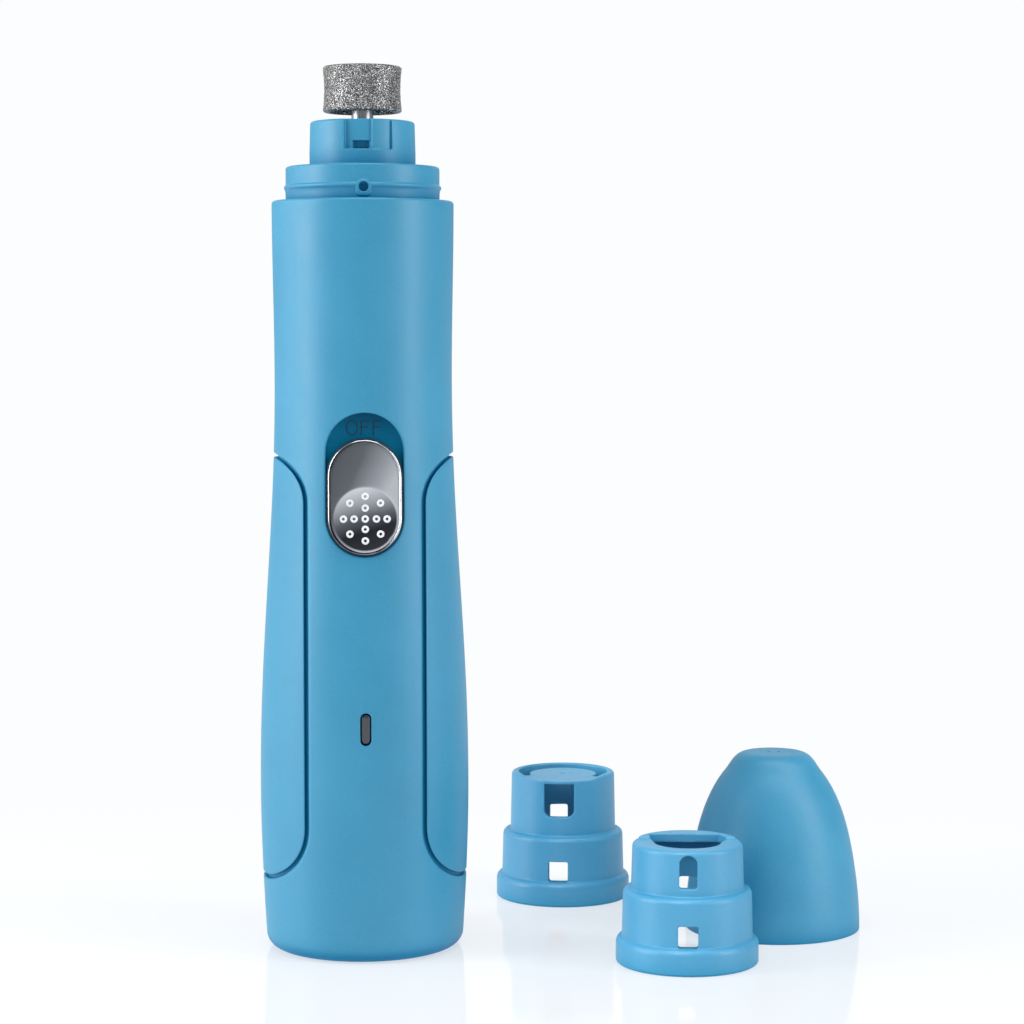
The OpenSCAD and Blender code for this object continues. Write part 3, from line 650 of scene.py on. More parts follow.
def nose():
    """Collar and neck above the handle, hollow, with a small drilled boss at the front."""
    step, top = COLLAR_STEP_Z, COLLAR_TOP_Z
    # (r, z): tongue held in the shells, bead, step, neck, then down the inside
    outline = [(3.1, 126.05), (13.3, 126.05), (13.3, 127), (14.3, 127), (14.3, 128.6)]
    outline += [(13.3, 128.6), (13.3, BODY_TOP), (13.35, BODY_TOP)]
    outline += [(13.38, 131.9), (13.46, 132.3), (13.62, 132.55), (13.66, 132.75)]
    outline += [(13.64, 132.95), (13.5, 133.08), (13.35, 133.12), (13.35, step - 0.45)]
    outline += arc((12.9, step - 0.45), (0.45, 0.45), 0.2, math.pi / 2, 6)
    outline += [(9.5, step), (9.28, step + 0.06), (NECK_RADIUS, step + 0.3)]
    outline += [(NECK_RADIUS, step + 2.4), (9.06, top - 0.5)]
    outline += arc((8.56, top - 0.5), (0.5, 0.5), 0.2, math.pi / 2, 6)
    outline += [(3, top), (3, top - 1.3), (7.8, top - 1.3), (7.8, step - 1.5)]
    outline += [(11.9, step - 1.5), (11.9, 128.2), (3.1, 128.2)]
    collar = lathe(outline, 240, "nose_collar_body")
    boss = lathe([(0, -0.6), (1.3, -0.6), (1.3, 0.16), (1.14, 0.3), (0, 0.3)], 40)
    face_front(boss, -13.35, 132.35)
    tail = prism(rounded_rect(-1.22, 1.22, 130.9, 132.4, 0.6), -13.6, -12.8, "Y")
    pad_outline = [(7.1, 138.6), (8.0, 138.6), (8.0, 141.0), (7.1, 141.0)]
    pad = lathe(pad_outline, 24, start=-90 - 19, end=-90 + 14)
    cut(collar, [boss, tail, pad], "UNION")

    hole_outline = [(0.0, -0.3), (0.2, -0.42), (0.32, -0.7), (0.72, -0.7)]
    hole_outline += [(0.8, -0.3), (0.86, 0.6), (0, 0.6)]
    hole = lathe(hole_outline, 32)
    face_front(hole, -13.35, 132.4)
    tools = [hole] + [neck_notch(*notch) for notch in NECK_NOTCHES]
    for x in (-6, 6):
        tools.append(lathe([(0, 125), (1.02, 125), (1.02, 129), (0, 129)], 24, centre=(x, 0)))
    cut(collar, tools)
    soften(collar, voxel=0.115, rounds=1, factor=0.5)
    return collar


# ---------------------------------------------------------------- guard caps and cover
CAP_SCALE = 12.25 / 11.9
CAP_BORE = 8.15
CAP_LOWER_BORE = [(CAP_BORE, CAP_SCALE * 11.2), (9.35, CAP_SCALE * 11.2)]


def scaled(points):
    return [(CAP_SCALE * x, CAP_SCALE * y) for x, y in points]


def cap_outside(height):
    """(r, z) from the inner foot edge up the stepped outside to the rounded rim."""
    foot_radius = 11.9 * CAP_SCALE
    rim_radius = CAP_SCALE * 9.2
    outline = [(9.35, 0.25), (9.6, 0.0), (11.6 * CAP_SCALE, 0)]
    outline += [(foot_radius, 0.3), (foot_radius, 3.2 * CAP_SCALE)]
    outline += scaled(
        arc((10.95, 3.2), (0.95, 1.2), 0, math.pi / 2, 9)[1:]
        + [(10.9, 5.2), (10.74, 11.3)]
        + arc((10.74 - 0.9, 11.5), (0.9, 1.0), 0.15, math.pi / 2, 8)
        + [(9.5, 12.55), (9.4, 12.8)]
    )
    outline += [(rim_radius, height - 0.7)]
    return outline + arc((rim_radius - 0.7, height - 0.7), (0.7, 0.7), 0.2, math.pi / 2, 6)


def nub():
    """A small block inside the front of a cap's foot."""
    return lathe([(9.1, 3.0), (9.6, 2.6), (9.6, 4.1), (9.1, 3.7)], 8, start=-98, end=-82)


def slotted_cap():
    top = 24.0
    rim = [(CAP_BORE + 0.2, top), (CAP_BORE, top - 0.2)]
    outline = cap_outside(top) + rim + CAP_LOWER_BORE
    cap = lathe(outline, 220, "guard_cap_slotted_body")
    disc_radius = 6.0 * CAP_SCALE
    web_bottom = top - 1.15
    disc = [(0, web_bottom), (disc_radius, web_bottom), (disc_radius, top - 0.67)]
    disc = lathe(disc + [(disc_radius - 0.1, top - 0.55), (0, top - 0.55)], 120)
    # the web closes the front of the top, between the disc and the rim
    turn = math.radians(25)
    web = [(0, 0)] + arc((0, 0), (8.6, 8.6), -math.pi + turn, -turn, 40)
    cut(cap, [disc, prism(web, web_bottom, top - 0.6), nub()], "UNION")

    low_window = prism(rounded_rect(-1.72, 1.72, 4.6, 8.4, 0.3), -14, -7, "Y")
    foot_notch = block(-3.9, 0.7, 7, 14, -1, 4.6)
    # the front slot runs up to the underside of the web
    slot = prism(rounded_rect(-2.7, 2.7, 16.6, top + 3, 1.2), -12, -6.7, "Y")
    cut(slot, [block(-4, 4, -14, -5, web_bottom, top + 4)])
    # the rim sinks flush with the web across the front
    half = [(8.4, 1), (7.9, -0.02), (6.6, -0.3), (5.3, -0.57)]
    dip = [(-x, top + z) for x, z in half] + [(x, top + z) for x, z in half[::-1]]
    dip = prism(dip, -12.5, -3.5, "Y")
    back_window = prism(rounded_rect(-3.05, 0.25, 12.5, 15.9, 0.3), 6.5, 12.6, "Y")
    pip = [(0, top - 1.0), (0.3, top - 0.95), (0.62, top - 0.5), (0.7, top + 1), (0, top + 1)]
    cut(cap, [low_window, foot_notch, slot, dip, back_window, lathe(pip, 32)])
    soften(cap, voxel=0.14, rounds=2, factor=0.45)
    write_points(cap.data, read_points(cap.data) * [1.035, 1.035, 1])
    set_down(cap, 38.35, 38.5, turn=-9.3)
    return cap


def open_cap():
    top = 21.1
    rim = top - 0.4
    lid = [(0, rim), (0, top - 1.5), (CAP_BORE, top - 1.5)]
    outline = cap_outside(rim) + lid + CAP_LOWER_BORE
    cap = lathe(outline, 220, "guard_cap_open_body")
    # raised segment on the back of the lid
    radius = CAP_SCALE * 8.5
    raised = arc((0, 0), (radius, radius), math.radians(18), math.radians(162), 40)
    cut(cap, [prism(raised, top - 0.7, top), nub()], "UNION")

    mouth = arc((0, -0.3), (5.5, 5.5), math.radians(183), math.radians(357), 34)
    mouth += [(6.5, 2.6), (5.4, 5.1), (-6.6, 4.9)]
    mouth = prism(scaled(mouth), top - 3, top + 2)
    low_window = prism(rounded_rect(-1.7, 1.7, 4.6, 8.3, 0.3), -14, -7, "Y")
    foot_notch = block(-2, 2.7, 7, 14, -1, 4.8)
    # front arch: a half round over the lower corners of a rounded rectangle
    arch = arc((0, 18.5), (1.52, 1.52), 0, math.pi, 18)
    arch += [p for p in rounded_rect(-1.52, 1.52, 14.4, 17.0, 0.4) if p[1] < 15.5]
    arch = prism(arch, -12, -7.5, "Y")
    back_window = prism(rounded_rect(-1.3, 2.0, 10.4, 13.0, 0.3), 6.5, 12.6, "Y")
    cut(cap, [mouth, low_window, foot_notch, arch, back_window])
    soften(cap, voxel=0.14, rounds=2, factor=0.45)
    set_down(cap, 55.0, -17.8, turn=-6.5)
    return cap


def cover():
    """A hollow dome with two pin holes in its crown."""
    height, radius = 32.0, 15.75

    def dome(z):
        return radius * np.sqrt(1 - (0.967 * z / height) ** 2)

    def side(z):
        # fuller than the ellipse towards the top
        return dome(z) + 0.72 * smoothstep(9, 29, z)

    outline = [(13.6, 0.15), (13.75, 0), (radius - 0.2, 0)]
    outline += [(radius - 0.05, 0.06), (radius - 0.003, 0.25)]
    outline += [(side(z), z) for z in np.linspace(0.6, 28.6, 70)]
    # a Bezier curve rounds over onto the nearly flat crown
    controls = [(side(28.6), 28.6), (7.55, 30.0), (6.95, 31.84), (4.7, 31.95)]
    for t in np.linspace(0, 1, 22)[1:]:
        weights = ((1 - t) ** 3, 3 * t * (1 - t) ** 2, 3 * t * t * (1 - t), t**3)
        outline.append([sum(w * c[i] for w, c in zip(weights, controls)) for i in (0, 1)])
    crown = np.linspace(0, 1, 10)[1:-1]
    outline += [(4.7 * (1 - t), 31.95 + 0.05 * (1 - (1 - t) ** 2)) for t in crown]
    outline += [(0, height), (0, height - 1.4)]
    outline += [(dome(z) - 1.3, z) for z in np.linspace(height - 1.6, 6.0, 30)]
    outline += [(13.6, 6.0)]
    body = lathe(outline, 200, "travel_cover_body")
    pin = [(0, height - 0.45), (0.26, height - 0.45), (0.36, height + 0.5), (0, height + 0.5)]
    cut(body, [lathe(pin, 20, centre=(x, -0.3)) for x in (-0.95, 0.95)])
    smooth(body.data, 32)
    set_down(body, 74.0, 8.3)
    return body


# ---------------------------------------------------------------- grinding drum
DRUM_Z, DRUM_HEIGHT = 145.8, 7.9
DRUM_TOP = DRUM_Z + DRUM_HEIGHT
DRUM_END_RADIUS, DRUM_WAIST_RADIUS = 6.85, 6.62
DRUM_ROUND = 0.42
GRAIN_RADIUS = 6.75  # radius at which the grains are laid out
GRAINS = 5200


def diamond_sleeve():
    """A slightly waisted ring with seeded grains raised on its outside."""
    low, edge = DRUM_Z + DRUM_ROUND, DRUM_END_RADIUS - DRUM_ROUND
    rounding = (DRUM_ROUND, DRUM_ROUND)
    outline = arc((edge, low), rounding, -math.pi / 2, 0, 7)[:-1]
    for i in range(85):
        t = i / 84
        r = DRUM_WAIST_RADIUS + (DRUM_END_RADIUS - DRUM_WAIST_RADIUS) * (2 * t - 1) ** 2
        outline.append((r, low + (DRUM_HEIGHT - 2 * DRUM_ROUND) * t))
    outline += arc((edge, DRUM_TOP - DRUM_ROUND), rounding, 0, math.pi / 2, 7)[1:]
    outline += [(6.0, DRUM_TOP), (5.86, DRUM_TOP - 0.15)]
    outline += [(5.86, DRUM_Z + 4), (5.86, DRUM_Z + 0.2), (6.0, DRUM_Z)]
    sleeve = lathe(outline, 420, "diamond_sleeve_body", sharp=50)

    points = read_points(sleeve.data)
    radius = np.hypot(points[:, 0], points[:, 1]) / MM
    rng = np.random.default_rng(7)
    grains = zip(
        rng.uniform(-math.pi, math.pi, GRAINS),  # angle
        rng.uniform(DRUM_Z, DRUM_TOP, GRAINS),  # z
        rng.uniform(0.09, 0.2, GRAINS),  # grain radius
        rng.uniform(0.02, 0.065, GRAINS),  # grain height
    )
    lump = np.zeros(len(points))
    outside = np.where(radius > 6.15)[0]
    across = np.arctan2(points[:, 1], points[:, 0])[outside] * GRAIN_RADIUS
    up = (points[:, 2] / MM)[outside]
    order = np.argsort(up)
    sorted_up = up[order]
    for angle, z, size, rise in grains:
        near = order[np.searchsorted(sorted_up, z - size) : np.searchsorted(sorted_up, z + size)]
        gap = np.abs(across[near] - angle * GRAIN_RADIUS)
        gap = np.minimum(gap, 2 * math.pi * GRAIN_RADIUS - gap)
        square = (gap**2 + (up[near] - z) ** 2) / size**2
        bulge = rise * np.sqrt(np.clip(1 - square, 0, 1))
        lump[outside[near]] = np.maximum(lump[outside[near]], bulge)
    lump -= 0.055
    lump[radius <= 6.15] = 0
    points[:, :2] *= ((radius + lump) / np.maximum(radius, 1e-6))[:, None]
    write_points(sleeve.data, points)
    return sleeve


def drum_core():
    low, top = DRUM_Z, DRUM_TOP
    outline = [(1.15, low + 2.2), (2.5, low + 2.2), (2.6, low + 2.35), (2.6, low + 3.2)]
    outline += [(2.8, low + 3.4), (5.85, low + 3.4), (5.85, top - 0.35), (5.7, top - 0.22)]
    outline += [(2.0, top - 0.22), (1.8, top - 0.3), (1.15, top - 0.3)]
    return lathe(outline, 96, "drum_core_body", sharp=35)


# ---------------------------------------------------------------- switch, mark and lens
SWITCH_BACK_Y = -13.5
DISH_X, DISH_Z, DISH_RADIUS = 0.05, 76.27, 5.65  # round thumb dish in the button
BUTTON_INSET = 0.33
DOT_STEPS = 28
# offsets of the dots from the dish centre, (x, z)
DOT_PLACES = (
    (0, 0), (-1.9, 0), (-3.7, 0), (1.9, 0), (3.7, 0), (0, 1.85), (0, 3.85), (0, -1.75),
    (0, -3.7), (-2.6, 2.7), (2.6, 2.7), (-2.6, -2.55), (2.6, -2.55),
)
# (radius, height) from the foot of a dot over its rim into the hollow centre
DOT_PROFILE = (
    (0.64, -0.12), (0.64, 0.08), (0.6, 0.16), (0.5, 0.21),
    (0.36, 0.22), (0.28, 0.19), (0.235, 0.02), (0.2, -0.02),
)


def face_y(z):
    """The plane of the switch, which leans a little."""
    return -16.5 + (z - 79.9) * math.tan(math.radians(2.6))


def slot_ring(outline, surface_y, height, back_y):
    """An outline raised over a surface, or laid on the back plane where height is None."""
    y = np.full(len(outline), back_y) if height is None else surface_y - height
    return np.c_[outline[:, 0], y, outline[:, 1]]


def bezel():
    # (inset, height over the switch plane)
    sections = (
        (0.0, None), (0.0, -0.36), (0.02, -0.2), (0.07, -0.07), (0.14, 0.0),
        (0.2, 0.01), (0.26, -0.04), (0.3, -0.14), (0.31, -0.3), (0.31, None),
    )
    rings = []
    for inset, height in sections:
        outline = stadium(SWITCH, inset)
        # the ring is wider on its right-hand side
        outline[:, 0] -= 0.36 * inset * smoothstep(-1, 6, outline[:, 0]) + 0.1 * inset
        rings.append(slot_ring(outline, face_y(outline[:, 1]), height, SWITCH_BACK_Y))
    faces = band_faces(len(rings), len(rings[0]), wrap=True)
    return new_mesh("switch_bezel_ring", np.concatenate(rings), faces, 40)


def gap_shade_ring():
    """The black sleeve, which stands in for the shade seen in the gap between the switch and the
    handle.
    """
    rings = []
    for inset, height in ((-0.19, None), (-0.19, -0.62), (-0.16, -0.55), (0.1, -0.55), (0.1, None)):
        outline = stadium(SWITCH, inset, end_share=0.7)
        rings.append(slot_ring(outline, face_y(outline[:, 1]), height, -13.42))
    faces = band_faces(len(rings), len(rings[0]), wrap=True)
    return new_mesh("switch_gap_shade_ring", np.concatenate(rings), faces, 40)


def button_height(x, z):
    """Height of the button over the switch plane: slightly crowned, with the thumb dish."""
    crown = -0.2 + 0.16 * (1 - (x / 5.8) ** 2)
    t = np.clip(np.hypot(x - DISH_X, z - DISH_Z) / DISH_RADIUS, 0, 1)
    dish = -0.62 * (1 - t**2)
    return crown + dish * smoothstep(0, 0.1, 1 - t)


def button():
    sheet = Sheet()
    edge = stadium(SWITCH, BUTTON_INSET)
    rim = sheet.add(edge, -0.75, ring=True)
    # (inset, drop) of the rounded rim
    for inset, drop in ((0.36, -0.42), (0.4, -0.24), (0.48, -0.1), (0.6, -0.03), (0.8, 0.0)):
        ring = stadium(SWITCH, inset)
        sheet.add(ring, button_height(ring[:, 0], ring[:, 1]) + drop, ring=True)
    t = np.linspace(0, 2 * math.pi, 97)[:-1]
    for radius in (4.95, 5.1, 5.24, 5.36):
        ring = np.c_[DISH_X + radius * np.cos(t), DISH_Z + radius * np.sin(t)]
        sheet.add(ring, button_height(ring[:, 0], ring[:, 1]), ring=True)
    grid = grid_points(np.linspace(-5.4, 5.4, 44), np.linspace(70.6, 89.2, 74))
    limit = stadium(SWITCH, 0.8)
    from_dish = np.hypot(grid[:, 0] - DISH_X, grid[:, 1] - DISH_Z)
    clear = inside(grid, limit) & (distance(grid, limit) > 0.15)
    grid = grid[clear & ((from_dish < 4.82) | (from_dish > 5.5))]
    sheet.add(grid, button_height(grid[:, 0], grid[:, 1]))
    flat, faces, height, _, rows = sheet.solve()
    faces = list(keep_faces(flat, faces, edge))
    front = np.c_[flat[:, 0], face_y(flat[:, 1]) - height, flat[:, 1]]
    back = slot_ring(edge, None, None, SWITCH_BACK_Y)
    first, count = len(front), len(rim)
    for i in range(count):
        k = (i + 1) % count
        faces.append([rows[rim[i]], rows[rim[k]], first + k, first + i])
    faces.append(range(first, first + count))
    return new_mesh("switch_button_face", np.r_[front, back], faces, 50)


def dots():
    verts, faces = [], []
    for dx, dz in DOT_PLACES:
        x0, z0 = DISH_X + dx, DISH_Z + dz
        ground = float(button_height(x0, z0))
        first = len(verts)
        for radius, height in DOT_PROFILE:
            for i in range(DOT_STEPS):
                t = 2 * math.pi * i / DOT_STEPS
                z = z0 + radius * math.sin(t)
                verts.append((x0 + radius * math.cos(t), face_y(z) - (ground + height), z))
        faces += band_faces(len(DOT_PROFILE), DOT_STEPS, first)
        faces.append(range(first, first + DOT_STEPS))
        faces.append(range(len(verts) - DOT_STEPS, len(verts)))
    return new_mesh("switch_dots_raised", verts, faces, 50)


def darken_dot_centres(obj, material):
    """Gives the floor and the innermost band of each dot a second material."""
    obj.data.materials.append(material)
    bands = (len(DOT_PROFILE) - 1) * DOT_STEPS
    place = np.arange(len(obj.data.polygons)) % (bands + 2)
    dark = (place == bands + 1) | ((place >= bands - DOT_STEPS) & (place < bands))
    obj.data.polygons.foreach_set("material_index", dark.astype(np.int32))


def off_mark():
    """The letters OFF on the recess floor, above the switch, as thin strokes."""
    low, high, width = 90.42, 92.78, 0.2
    middle = (low + high) / 2
    strokes = [(arc((-2.1, middle), (0.92, 1.2), 0, 2 * math.pi, 41)[:-1], True)]
    for x in (-0.55, 1.5):
        strokes.append(([(x, low), (x, high)], False))
        strokes.append(([(x, high), (x + 1.4, high)], False))
        strokes.append(([(x, middle + 0.1), (x + 1.2, middle + 0.1)], False))
    back, front = RECESS_FLOOR_Y - 0.03, RECESS_FLOOR_Y + 0.1
    verts, faces = [], []
    for path, closed in strokes:
        path = np.array(path, float)
        if closed:
            along = np.roll(path, -1, 0) - np.roll(path, 1, 0)
        else:
            along = np.gradient(path, axis=0)
        along /= np.hypot(*along.T)[:, None]
        across = np.c_[-along[:, 1], along[:, 0]] * width / 2
        first = len(verts)
        for (x0, z0), (x1, z1) in zip(path + across, path - across):
            verts += [(x0, back, z0), (x1, back, z1), (x1, front, z1), (x0, front, z0)]
        faces += band_faces(len(path), 4, first, wrap=closed)
        if not closed:
            faces += [range(first, first + 4), range(len(verts) - 4, len(verts))]
    return new_mesh("off_mark_strokes", verts, faces, 40)


def lens():
    # (inset, height over the handle's surface less 0.1)
    sections = (
        (0.0, None), (0.0, -0.3), (0.03, -0.16), (0.1, -0.06),
        (0.2, -0.01), (0.32, 0.0), (0.5, 0.005), (0.66, 0.01),
    )
    rings = []
    for inset, height in sections:
        outline = stadium(LED_LENS, inset)
        surface_y = -body_radius(outline[:, 1]) + 0.1
        rings.append(slot_ring(outline, surface_y, height, -11.2))
    verts = np.concatenate(rings)
    count = len(rings[0])
    faces = band_faces(len(rings), count)
    faces += [range(count), range(len(verts) - count, len(verts))]
    return new_mesh("led_lens_window", verts, faces, 40)


# ---------------------------------------------------------------- shader building
class Nodes:
    """Adds nodes to a tree. Any input takes a value or another node's output."""

    def __init__(self, tree, space):
        self.tree = tree
        self.coords = self.node("ShaderNodeTexCoord").outputs[space]

    def feed(self, socket, value):
        if isinstance(value, bpy.types.NodeSocket):
            self.tree.links.new(value, socket)
        elif socket.type == "RGBA":
            socket.default_value = (*value, 1)
        else:
            socket.default_value = value

    def node(self, kind, inputs=None, **settings):
        node = self.tree.nodes.new(kind)
        for key, value in settings.items():
            setattr(node, key, value)
        for key, value in (inputs or {}).items():
            self.feed(node.inputs[key], value)
        return node

    def position(self):
        return self.node("ShaderNodeSeparateXYZ", {0: self.coords}).outputs

    def remap(self, source, span, to=(0, 1)):
        inputs = {"From Min": span[0], "From Max": span[1], "To Min": to[0], "To Max": to[1]}
        return self.node("ShaderNodeMapRange", {"Value": source, **inputs}).outputs["Result"]

    def calc(self, operation, first, second=0.0):
        return self.node("ShaderNodeMath", {0: first, 1: second}, operation=operation).outputs[0]

    def hypot(self, a, b):
        squares = [self.calc("MULTIPLY", side, side) for side in (a, b)]
        return self.calc("SQRT", self.calc("ADD", *squares))

    def mix(self, factor, a, b):
        # sockets 6, 7 and output 2 are the colour ones
        inputs = {0: factor, 6: a, 7: b}
        return self.node("ShaderNodeMix", inputs, data_type="RGBA").outputs[2]


class Material(Nodes):
    """A material whose colour, roughness and relief vary across the surface."""

    def __init__(self, name):
        self.material = bpy.data.materials.new(name)
        self.material.use_nodes = True
        super().__init__(self.material.node_tree, "Object")
        self.principled = self.tree.nodes["Principled BSDF"]

    def noise(self, scale, detail=3.0, roughness=0.6, distortion=0.0, coords=None):
        inputs = {"Scale": scale, "Detail": detail, "Roughness": roughness}
        inputs.update({"Distortion": distortion, "Vector": coords or self.coords})
        return self.node("ShaderNodeTexNoise", inputs).outputs["Fac"]

    def voronoi(self, scale, output="Distance"):
        inputs = {"Scale": scale, "Vector": self.coords}
        return self.node("ShaderNodeTexVoronoi", inputs).outputs[output]

    def ramp(self, source, stops):
        """Colour ramp from (position, grey or colour) stops."""
        node = self.node("ShaderNodeValToRGB", {"Fac": source})
        elements = node.color_ramp.elements
        while len(elements) < len(stops):
            elements.new(0.5)
        for element, (position, tone) in zip(elements, stops):
            element.position = position
            element.color = (*tone, 1) if isinstance(tone, tuple) else (tone, tone, tone, 1)
        return node.outputs["Color"]

    def bump(self, height, strength, distance, normal=None):
        inputs = {"Strength": strength, "Distance": distance, "Height": height}
        if normal:
            inputs["Normal"] = normal
        return self.node("ShaderNodeBump", inputs).outputs["Normal"]

    def edge(self, radius, full):
        """0 on open faces, 1 where the bevelled normal strays by full or more."""
        bevel = self.node("ShaderNodeBevel", {"Radius": radius}, samples=4).outputs["Normal"]
        normal = self.node("ShaderNodeNewGeometry").outputs["Normal"]
        dot = self.node("ShaderNodeVectorMath", {0: bevel, 1: normal}, operation="DOT_PRODUCT")
        return self.remap(self.calc("SUBTRACT", 1.0, dot.outputs["Value"]), (0.03, full))

    def finish(self, color, roughness, metallic, **others):
        """Feeds the principled shader; underscores in names stand for spaces."""
        others.update(Base_Color=color, Roughness=roughness, Metallic=metallic)
        for key, value in others.items():
            self.feed(self.principled.inputs[key.replace("_", " ")], value)
        return self.material


def recess_shade(mat):
    """1 where the switch recess shades the surface, and the shade's colour, darkest at its top."""
    width, bottom, top = RECESS[:3]
    middle, half_side = (bottom + top) / 2 * MM, (top - bottom - width) / 2 * MM
    x, y, z = mat.position()
    from_middle = mat.calc("ABSOLUTE", mat.calc("SUBTRACT", z, middle))
    beyond_side = mat.calc("MAXIMUM", mat.calc("SUBTRACT", from_middle, half_side), 0.0)
    in_outline = mat.remap(mat.hypot(x, beyond_side), (0.00652, 0.00656), to=(0.94, 0))
    in_front = mat.remap(y, (0.0, 0.001), to=(1, 0))
    high = mat.remap(z, (0.0885, 0.0945))
    tone = mat.mix(high, (0.002, 0.19, 0.36), (0.001, 0.08, 0.165))
    return mat.calc("MULTIPLY", in_outline, in_front), tone


def blue_plastic(
    name, tint=1.0, roughness=0.44, cloud_scale=60, corner_shade=(0.004, 0.18, 0.36), recess=False, pale=0.0
):
    """Moulded plastic with painted shade: a darker corner colour is painted into corners and
    creases that ambient occlusion finds, recess paints shade into the switch recess, and pale adds
    red to whiten it.
    """
    mat = Material(name)
    base = (0.021 * tint + pale, 0.262 * tint, 0.45 * tint)
    light = (0.029 * tint + pale, 0.29 * tint, 0.49 * tint)
    cloud = mat.noise(cloud_scale, roughness=0.55)
    speck = mat.noise(3200, detail=2)
    color = mat.mix(mat.remap(cloud, (0.3, 0.7)), base, light)
    color = mat.mix(mat.remap(speck, (0.35, 0.65), to=(0, 0.12)), color, (0.10, 0.40, 0.60))
    # painted shade: ambient occlusion mixes the darker corner colour into corners and creases
    occlusion = mat.node("ShaderNodeAmbientOcclusion", {"Distance": 0.0045}, samples=6)
    occlusion = occlusion.outputs["AO"]
    is_open = mat.remap(occlusion, (0.3, 0.92))
    color = mat.mix(is_open, corner_shade, color)
    specular = mat.remap(occlusion, (0.35, 0.9), to=(0.1, 0.66))
    if recess:
        shade, tone = recess_shade(mat)
        color = mat.mix(shade, color, tone)
        dulling = mat.remap(shade, (0, 0.94), to=(1, 0.12))
        specular = mat.calc("MULTIPLY", specular, dulling)
    # painted highlight: open edges are lightened towards a pale blue
    edge = mat.calc("MULTIPLY", mat.edge(radius=0.0003, full=0.45), is_open)
    color = mat.mix(mat.calc("MULTIPLY", edge, 0.42), color, (0.16, 0.49, 0.70))
    scuff = mat.noise(240, detail=4, roughness=0.65, distortion=0.4)
    sheen = mat.remap(cloud, (0.25, 0.75), to=(roughness - 0.04, roughness + 0.05))
    sheen = mat.calc("ADD", sheen, mat.remap(scuff, (0.5, 0.78), to=(0, 0.07)))
    grain = mat.bump(mat.noise(5200, detail=2, roughness=0.7), strength=0.32, distance=0.00004)
    pores = mat.bump(mat.voronoi(2600), strength=0.12, distance=0.00004, normal=grain)
    return mat.finish(color, sheen, 0.0, Normal=pores, IOR=1.5, Specular_IOR_Level=specular)


def metal(name, color, roughness, brushed=0.0, grain=2400, bump=0.12):
    """Metal with pale edges; brushed stretches or squeezes the grain along Z."""
    mat = Material(name)
    dark = tuple(v * 0.82 for v in color)
    tone = mat.mix(mat.remap(mat.noise(180), (0.3, 0.7)), dark, color)
    # the colour pales towards the edges
    pale_edge = mat.calc("MULTIPLY", mat.edge(radius=0.00015, full=0.4), 0.3)
    tone = mat.mix(pale_edge, tone, (0.9, 0.9, 0.9))
    if brushed:
        stretch = mat.node("ShaderNodeMapping", {"Vector": mat.coords, "Scale": (1, 1, brushed)})
        fine = mat.noise(grain, detail=2, roughness=0.5, coords=stretch.outputs["Vector"])
    else:
        fine = mat.noise(grain)
    sheen = mat.remap(fine, (0.3, 0.7), to=(roughness - 0.06, roughness + 0.08))
    return mat.finish(tone, sheen, 1.0, Normal=mat.bump(fine, bump, distance=0.00003))


def plastic(name, color, roughness, grain=3000, bump=0.15, light=None, **others):
    mat = Material(name)
    light = light or tuple(min(1, v * 1.25 + 0.01) for v in color)
    edge_color = tuple(min(1, v * 1.5 + 0.03) for v in color)
    cloud = mat.noise(150)
    tone = mat.mix(mat.remap(cloud, (0.3, 0.7)), color, light)
    # the colour pales towards the edges
    pale_edge = mat.calc("MULTIPLY", mat.edge(radius=0.0002, full=0.4), 0.25)
    tone = mat.mix(pale_edge, tone, edge_color)
    sheen = mat.remap(cloud, (0.25, 0.75), to=(roughness - 0.05, roughness + 0.07))
    relief = mat.bump(mat.noise(grain), bump, distance=0.00003)
    return mat.finish(tone, sheen, 0.0, Normal=relief, **others)


def grit():
    """Faceted grains of mixed brightness in a grey bond."""
    mat = Material("diamond grit in nickel")
    grain_scale = 7000
    cell = mat.voronoi(grain_scale, output="Color")
    random = mat.node("ShaderNodeSeparateColor", {"Color": cell}).outputs
    stops = [(0.0, 0.035), (0.35, 0.12), (0.68, 0.33), (0.88, 0.64), (1.0, 1.0)]
    tone = mat.ramp(random[0], stops)
    bond = mat.remap(mat.noise(500), (0.35, 0.65), to=(0, 0.35))
    tone = mat.mix(bond, tone, (0.13, 0.125, 0.135))
    sheen = mat.remap(random[1], (0, 1), to=(0.2, 0.42))
    height = mat.remap(mat.voronoi(grain_scale), (0, 0.6), to=(1, 0))
    coarse = mat.bump(height, strength=0.9, distance=0.00009)
    fine = mat.bump(mat.noise(9000, detail=2), strength=0.5, distance=0.00004, normal=coarse)
    return mat.finish(tone, sheen, 0.85, Normal=fine)


